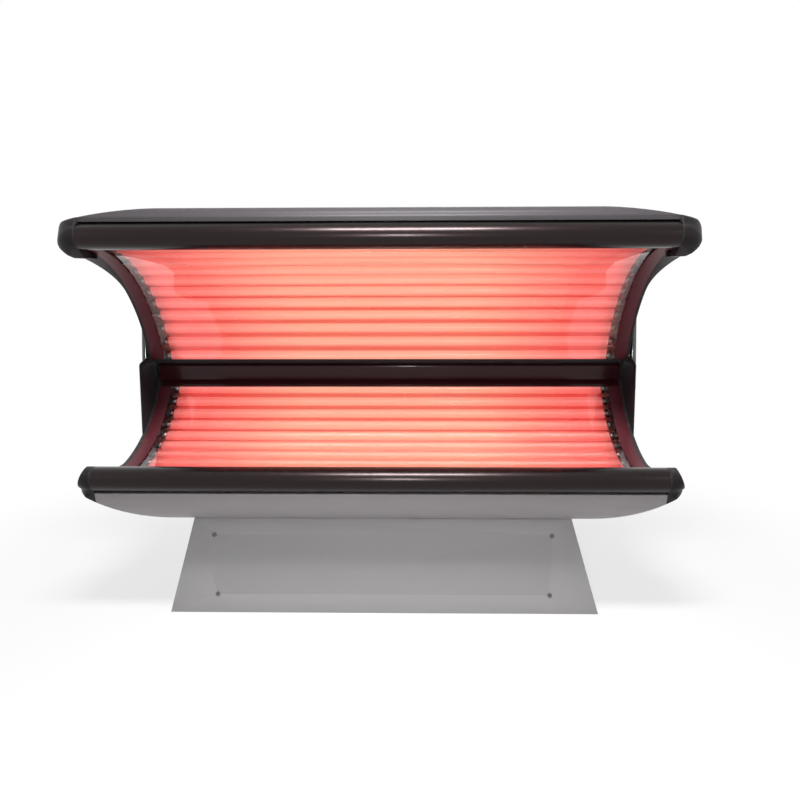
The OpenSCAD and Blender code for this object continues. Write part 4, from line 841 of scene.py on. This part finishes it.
@dataclass
class LampBank:
    """Lamps of one half of the bed with their holders, reflector and clear sheet.

    The profiles are pairs in millimetres, so that they read like a drawing: a distance along the lamp,
    and a drop below the tube's surface or, for the collar, a radius.
    """

    body: str
    centre: Point2
    lamp_radius: float
    first_angle: float
    step_angle: float
    count: int = 12
    tube_radius: float = 19 * MM
    glass_half: float = 868 * MM
    lamp_half: float = 882 * MM
    tube_sides: int = 36
    glass_neck: Profile = ((-0.5, 2.4), (2, 1.5), (5, 0.4), (8, 0))
    cap_inset: float = 0.5 * MM
    cap_sides: int = 32
    cap_skirt: Profile = ((0, 1.2), (0, 0.3), (0.6, 0), (9, 0), (9.6, 0.8), (11, 0.8))
    cap_face: Profile = ((1.2, 1.1), (0, 2.6), (0, 8), (0.8, 9))
    pin_root: float = 1 * MM
    pin_reach: float = 7 * MM
    pin_radius: float = 1.2 * MM
    pin_tip_length: float = 0.8 * MM
    pin_tip_radius: float = 0.6 * MM
    pin_gap: float = 6.35 * MM
    pin_sides: int = 12
    holder_start: float = 884 * MM
    holder_depth: float = 21 * MM
    holder_width: float = 34 * MM
    housing_setback: float = 4 * MM
    housing_rounding: float = 2.5 * MM
    housing_segments: int = 3
    collar: Profile = ((2.5, 2), (2.5, 10.5), (0, 11.5), (0, 14), (1, 15), (5, 15))
    collar_sides: int = 28
    clip_offset: float = 16 * MM
    clip_low: Point3 = (3.2 * MM, -2 * MM, -5 * MM)
    clip_high: Point3 = (8 * MM, 1 * MM, 5 * MM)
    clip_rounding: float = 0.8 * MM
    sheet: Rounding = Rounding(width=0.3 * MM, segments=1)
    acrylic: Rounding = Rounding(width=0.8 * MM)

    def build(self) -> None:
        """Builds the rows and dresses the sheets."""
        self._row("lamps", self._tube(), GLASS)
        self._row("lamp_caps", self._caps(), LAMP_METAL)
        self._row("lampholders", self._holders(), HOLDER)
        for part, finish in (("holder_plates", ZINC), ("reflector", REFLECTOR)):
            refine(f"{self.body}_{part}", finish, self.sheet)
        refine(f"{self.body}_acrylic", ACRYLIC, self.acrylic)

    def _row(self, part: str, mesh: bpy.types.Mesh, finish: Finish) -> None:
        """Repeats a mesh at every lamp and lets it stand for its node.

        Args:
            part: Last part of the node's name.
            mesh: One lamp's mesh, with its axis along X.
            finish: Its finish.
        """
        piece = grow(f"{self.body}_{part}_row", mesh, ArcRow.tree(), {
            "Count": self.count, "Centre Y": self.centre[0], "Centre Z": self.centre[1],
            "Radius": self.lamp_radius, "First Angle": self.first_angle,
            "Step Angle": self.step_angle, "Material": finish.material()})
        settle(piece, finish, self.body, f"{self.body}_{part}")

    def _tube(self) -> bpy.types.Mesh:
        """Turns the glass tube, necked in where the metal caps take it.

        Returns:
            The tube's mesh.
        """
        radius, end = self.tube_radius, self.glass_half
        neck = [(end - back * MM, radius - drop * MM) for back, drop in self.glass_neck]
        profile = [(-x, y) for x, y in neck] + [(end * share, radius) for share in (-0.5, 0, 0.5)]
        return to_mesh(lathe(profile + neck[::-1], self.tube_sides), "lamp_tube")

    def _caps(self) -> bpy.types.Mesh:
        """Turns both metal caps of a lamp and their pins.

        Returns:
            One mesh of the two caps.
        """
        radius, face = self.tube_radius - self.cap_inset, self.lamp_half
        profile = [(self.glass_half + on * MM, radius - drop * MM) for on, drop in self.cap_skirt]
        profile += [(face - back * MM, radius - drop * MM) for back, drop in self.cap_face]
        tip = face + self.pin_reach
        pin = [(face - self.pin_root, self.pin_radius), (tip - self.pin_tip_length, self.pin_radius),
               (tip, self.pin_tip_radius)]
        bm = bmesh.new()
        for side in (0, 1):
            flip = Matrix.Rotation(math.pi * side, 4, "Z")
            join_into(bm, lathe(profile, self.cap_sides), flip)
            for s in (-1, 1):
                place = flip @ Matrix.Translation((0, 0, s * self.pin_gap))
                join_into(bm, lathe(pin, self.pin_sides), place)
        return to_mesh(bm, "lamp_cap")

    def _holders(self) -> bpy.types.Mesh:
        """Makes both lampholders of a lamp: a housing with a turning collar and two terminals.

        Returns:
            One mesh of the two lampholders.
        """
        start, half = self.holder_start, self.holder_width / 2
        collar = [(start + on * MM, radius * MM) for on, radius in self.collar]
        bm = bmesh.new()
        for side in (0, 1):
            part = bmesh.new()
            bar(part, (start + self.housing_setback, -half, -half), (start + self.holder_depth, half, half),
                self.housing_rounding, self.housing_segments)
            join_into(part, lathe(collar, self.collar_sides))
            for s in (-1, 1):
                place = Vector((start, s * self.clip_offset, 0))
                bar(part, place + Vector(self.clip_low), place + Vector(self.clip_high), self.clip_rounding)
            join_into(bm, part, Matrix.Rotation(math.pi * side, 4, "Z"))
        return to_mesh(bm, "lampholder")


@dataclass
class Rails:
    """Front and rear rails of both halves."""

    rounding: Rounding = Rounding(width=1.0 * MM, segments=3)
    hidden: Rounding = Rounding(width=0.4 * MM)

    def build(self) -> None:
        """Dresses the four rails."""
        refine("bench_front_rail", RAIL, self.rounding)
        refine("canopy_front_rail", RAIL, self.rounding)
        refine("bench_rear_rail", GLOSS_BAND, self.rounding)
        refine("canopy_rear_rail", CAP, self.hidden)


@dataclass
class Ends:
    """End caps and trim bands."""

    cap: Rounding = Rounding(width=1.2 * MM, segments=3, angle=math.radians(35))
    trim: Rounding = Rounding(width=0.7 * MM, segments=2)

    def build(self) -> None:
        """Dresses the caps and the bands of both ends."""
        for body in ("bench", "canopy"):
            for side in ("left", "right"):
                refine(f"{body}_end_cap_{side}", CAP, self.cap)
                refine(f"{body}_end_trim_{side}", TRIM, self.trim)


@dataclass
class Bodywork:
    """Pan, rear cover and shell."""

    sheet: Rounding = Rounding(width=0.6 * MM, segments=2)

    def build(self) -> None:
        """Dresses the sheet-metal skins."""
        refine("bench_pan", SKIRT, self.sheet)
        refine("bench_rear_cover", SKIRT, self.sheet)
        refine("canopy_shell", SHELL, self.sheet)


@dataclass
class Pedestal:
    """Sheet panels of the pedestal, their screws and the mains gland."""

    sheet: Rounding = Rounding(width=0.5 * MM, segments=2)
    screw: Rounding = Rounding(width=0.4 * MM)
    gland: Rounding = Rounding(width=0.6 * MM)

    def build(self) -> None:
        """Dresses the panels, their screws and the mains gland."""
        for part in ("front_panel", "rear_panel", "side_panel_left", "side_panel_right"):
            refine("pedestal_" + part, PANEL, self.sheet)
        refine("pedestal_panel_screws", BLACK_SCREW, self.screw)
        refine("mains_gland", GEAR, self.gland)


@dataclass
class Motion:
    """Hinge and gas struts."""

    fine: Rounding = Rounding(width=0.5 * MM, segments=2)

    def build(self) -> None:
        """Dresses the moving and bearing steel."""
        refine("bench_hinge_plates", FRAME, self.fine)
        refine("canopy_hinge_arms", FRAME, self.fine)
        refine("hinge_pins", BRIGHT, self.fine)
        refine("strut_lower_studs", BRIGHT, self.fine)
        refine("strut_upper_studs", BRIGHT, self.fine)
        for side in ("left", "right"):
            refine("strut_cylinder_" + side, STRUT_BLACK, self.fine)
            refine("strut_rod_" + side, CHROME, self.fine)


@dataclass
class Inside:
    """Everything that the panels and skins close in."""

    def build(self) -> None:
        """Gives each remaining node of the frame its slot's finish."""
        slots = {part["node"]: part["material_slot"] for part in frame["record"]["subparts"]}
        for name, node in frame["nodes"].items():
            if node.hide_render:
                continue
            finish = SLOT_FINISH[slots[name]]
            node.data.materials.clear()
            node.data.materials.append(finish.material())
            LOG.info("%s: carried over in %s", name, finish.name)


@dataclass(frozen=True)
class AreaLight:
    """One rectangular light: where it hangs, what it faces, its width and height, and its watts."""

    name: str
    place: Point3
    aim: Point3
    size: Point2
    power: float

    def hang(self) -> None:
        """Adds the light to the scene."""
        data = bpy.data.lights.new(self.name, "AREA")
        data.shape = "RECTANGLE"
        data.size, data.size_y = self.size
        data.energy = self.power
        lamp = bpy.data.objects.new(self.name, data)
        bpy.context.scene.collection.objects.link(lamp)
        lamp.location = self.place
        facing = Vector(self.aim) - Vector(self.place)
        lamp.rotation_euler = facing.to_track_quat("-Z", "Y").to_euler()


@dataclass
class Studio:
    """Floor, background, lights and camera.

    The camera is the photograph's, solved from the lamps and the mirror symmetry of the bed. The floor
    fades into the white background between two distances from the middle of the bed.
    """

    eye: Point3 = (0.1614, -2.4888, 1.1964)
    yaw: float = math.radians(-1.024)
    pitch: float = math.radians(11.0)
    roll: float = math.radians(-0.159)
    focal_pixels: float = 680.0
    image_pixels: float = 800.0
    sensor: float = 36.0
    centre_pixels: Point2 = (416.0, 410.0)
    view_end: float = 200.0
    sky: float = 0.24
    floor_colour: Colour = (0.86, 0.86, 0.86)
    floor_roughness: float = 0.8
    floor_specular: float = 0.1
    floor_reach: float = 60.0
    fade_start: float = 0.9
    fade_end: float = 2.4
    fade_least: float = 0.7
    lights: tuple[AreaLight, ...] = (
        AreaLight("key", (0.1, -1.35, 2.75), (0.05, -0.3, 1.3), (1.15, 0.34), 92),
        AreaLight("fill_left", (-3.2, -2.2, 1.9), (0, 0, 0.7), (1.2, 1.6), 2),
        AreaLight("fill_right", (3.2, -2.2, 1.9), (0, 0, 0.7), (1.2, 1.6), 8),
        AreaLight("back", (0.5, 3.2, 2.4), (0, 0, 0.8), (2.2, 1.2), 20),
        AreaLight("flash", (0.04, -2.45, 1.34), (0.1, 0.3, 0.9), (0.14, 0.3), 17))

    def build(self) -> None:
        """Builds the whole studio."""
        bpy.context.scene.view_settings.view_transform = "Standard"
        self._camera()
        self._floor()
        self._world()
        for light in self.lights:
            light.hang()

    def _camera(self) -> None:
        """Places the camera at the photograph's viewing angle."""
        data = bpy.data.cameras.new("camera")
        data.sensor_width = self.sensor
        data.lens = self.focal_pixels / self.image_pixels * self.sensor
        half = self.image_pixels / 2
        data.shift_x = -(self.centre_pixels[0] - half) / self.image_pixels
        data.shift_y = (self.centre_pixels[1] - half) / self.image_pixels
        data.clip_end = self.view_end
        camera = bpy.data.objects.new("camera", data)
        bpy.context.scene.collection.objects.link(camera)
        ahead = Vector((math.sin(self.yaw) * math.cos(self.pitch),
                        math.cos(self.yaw) * math.cos(self.pitch), -math.sin(self.pitch)))
        right = Vector((math.cos(self.yaw), -math.sin(self.yaw), 0))
        up = right.cross(ahead)
        right, up = (math.cos(self.roll) * right + math.sin(self.roll) * up,
                     -math.sin(self.roll) * right + math.cos(self.roll) * up)
        turn = Matrix((right, up, -ahead)).transposed().to_4x4()
        camera.matrix_world = Matrix.Translation(self.eye) @ turn
        bpy.context.scene.camera = camera

    def _floor(self) -> None:
        """Lays a wide pale floor that fades into the white background."""
        bm = bmesh.new()
        bmesh.ops.create_grid(bm, x_segments=1, y_segments=1, size=self.floor_reach)
        floor = new_piece("floor", to_mesh(bm, "floor"))
        material = bpy.data.materials.new("studio_floor")
        material.use_nodes = True
        tree = material.node_tree
        tree.nodes.clear()
        w = Wiring(tree)
        out = w.add("ShaderNodeOutputMaterial")
        skin = w.add("ShaderNodeBsdfPrincipled")
        skin.inputs["Base Color"].default_value = rgba(self.floor_colour)
        skin.inputs["Roughness"].default_value = self.floor_roughness
        skin.inputs["Specular IOR Level"].default_value = self.floor_specular
        glow = w.add("ShaderNodeEmission")
        place = w.add("ShaderNodeTexCoord").outputs["Object"]
        length = w.add("ShaderNodeVectorMath", operation="LENGTH")
        w.put(length.inputs[0], place)
        far = w.ramp(length.outputs["Value"], self.fade_start, self.fade_end, self.fade_least)
        share = w.math("MULTIPLY", far, self._seen(w))
        mix = w.add("ShaderNodeMixShader")
        w.put(mix.inputs[0], share)
        w.put(mix.inputs[1], skin.outputs[0])
        w.put(mix.inputs[2], glow.outputs[0])
        w.put(out.inputs["Surface"], mix.outputs[0])
        floor.data.materials.append(material)

    @staticmethod
    def _seen(w: Wiring) -> bpy.types.NodeSocket:
        """Wires a mask of the rays that see the background's own white.

        Args:
            w: Wiring of the material or world.

        Returns:
            1 where the camera, a reflection or a clear body looks, otherwise 0.
        """
        path = w.add("ShaderNodeLightPath").outputs
        seen = w.math("MAXIMUM", path["Is Camera Ray"], path["Is Glossy Ray"])
        return w.math("MAXIMUM", seen, path["Is Transmission Ray"])

    def _world(self) -> None:
        """Makes a soft even sky that shows white behind the bed."""
        world = bpy.data.worlds.new("studio")
        world.use_nodes = True
        tree = world.node_tree
        tree.nodes.clear()
        w = Wiring(tree)
        out = w.add("ShaderNodeOutputWorld")
        soft = w.add("ShaderNodeBackground")
        soft.inputs["Strength"].default_value = self.sky
        white = w.add("ShaderNodeBackground")
        for node in (soft, white):
            node.inputs["Color"].default_value = (1, 1, 1, 1)
        mix = w.add("ShaderNodeMixShader")
        w.put(mix.inputs[0], self._seen(w))
        w.put(mix.inputs[1], soft.outputs[0])
        w.put(mix.inputs[2], white.outputs[0])
        w.put(out.inputs["Surface"], mix.outputs[0])
        bpy.context.scene.world = world


# Arc of the bench's lamps: its centre across and up, its radius, the first lamp and the step
BENCH_CENTRE = (-195 * MM, 1090 * MM)
BENCH_LAMPS = (604 * MM, math.radians(-35.2), math.radians(-5.6))
# Arc of the canopy's lamps, with its centre from the hinge axis and the rear edge of its clear sheet
HINGE = (318 * MM, 830 * MM)
CANOPY_EDGE = (103.6 * MM, 35.2 * MM)
CANOPY_INNER = 565 * MM
CANOPY_REAR = math.radians(13.4)
CANOPY_CENTRE = (HINGE[0] - CANOPY_EDGE[0] - CANOPY_INNER * math.cos(CANOPY_REAR),
                 HINGE[1] + CANOPY_EDGE[1] - CANOPY_INNER * math.sin(CANOPY_REAR))
CANOPY_LAMPS = (592 * MM, math.radians(15.6), math.radians(5.85))


def main() -> None:
    """Builds the studio and every sub-assembly in order."""
    logging.basicConfig(level=logging.INFO, format="%(name)s %(message)s")
    parts = [
        Studio(),
        LampBank("bench", BENCH_CENTRE, *BENCH_LAMPS),
        LampBank("canopy", CANOPY_CENTRE, *CANOPY_LAMPS),
        Rails(), Ends(), Bodywork(), Pedestal(), Motion(), Inside(),
    ]
    for part in parts:
        LOG.info("building %s", type(part).__name__)
        part.build()


if __name__ == "__main__":
    main()
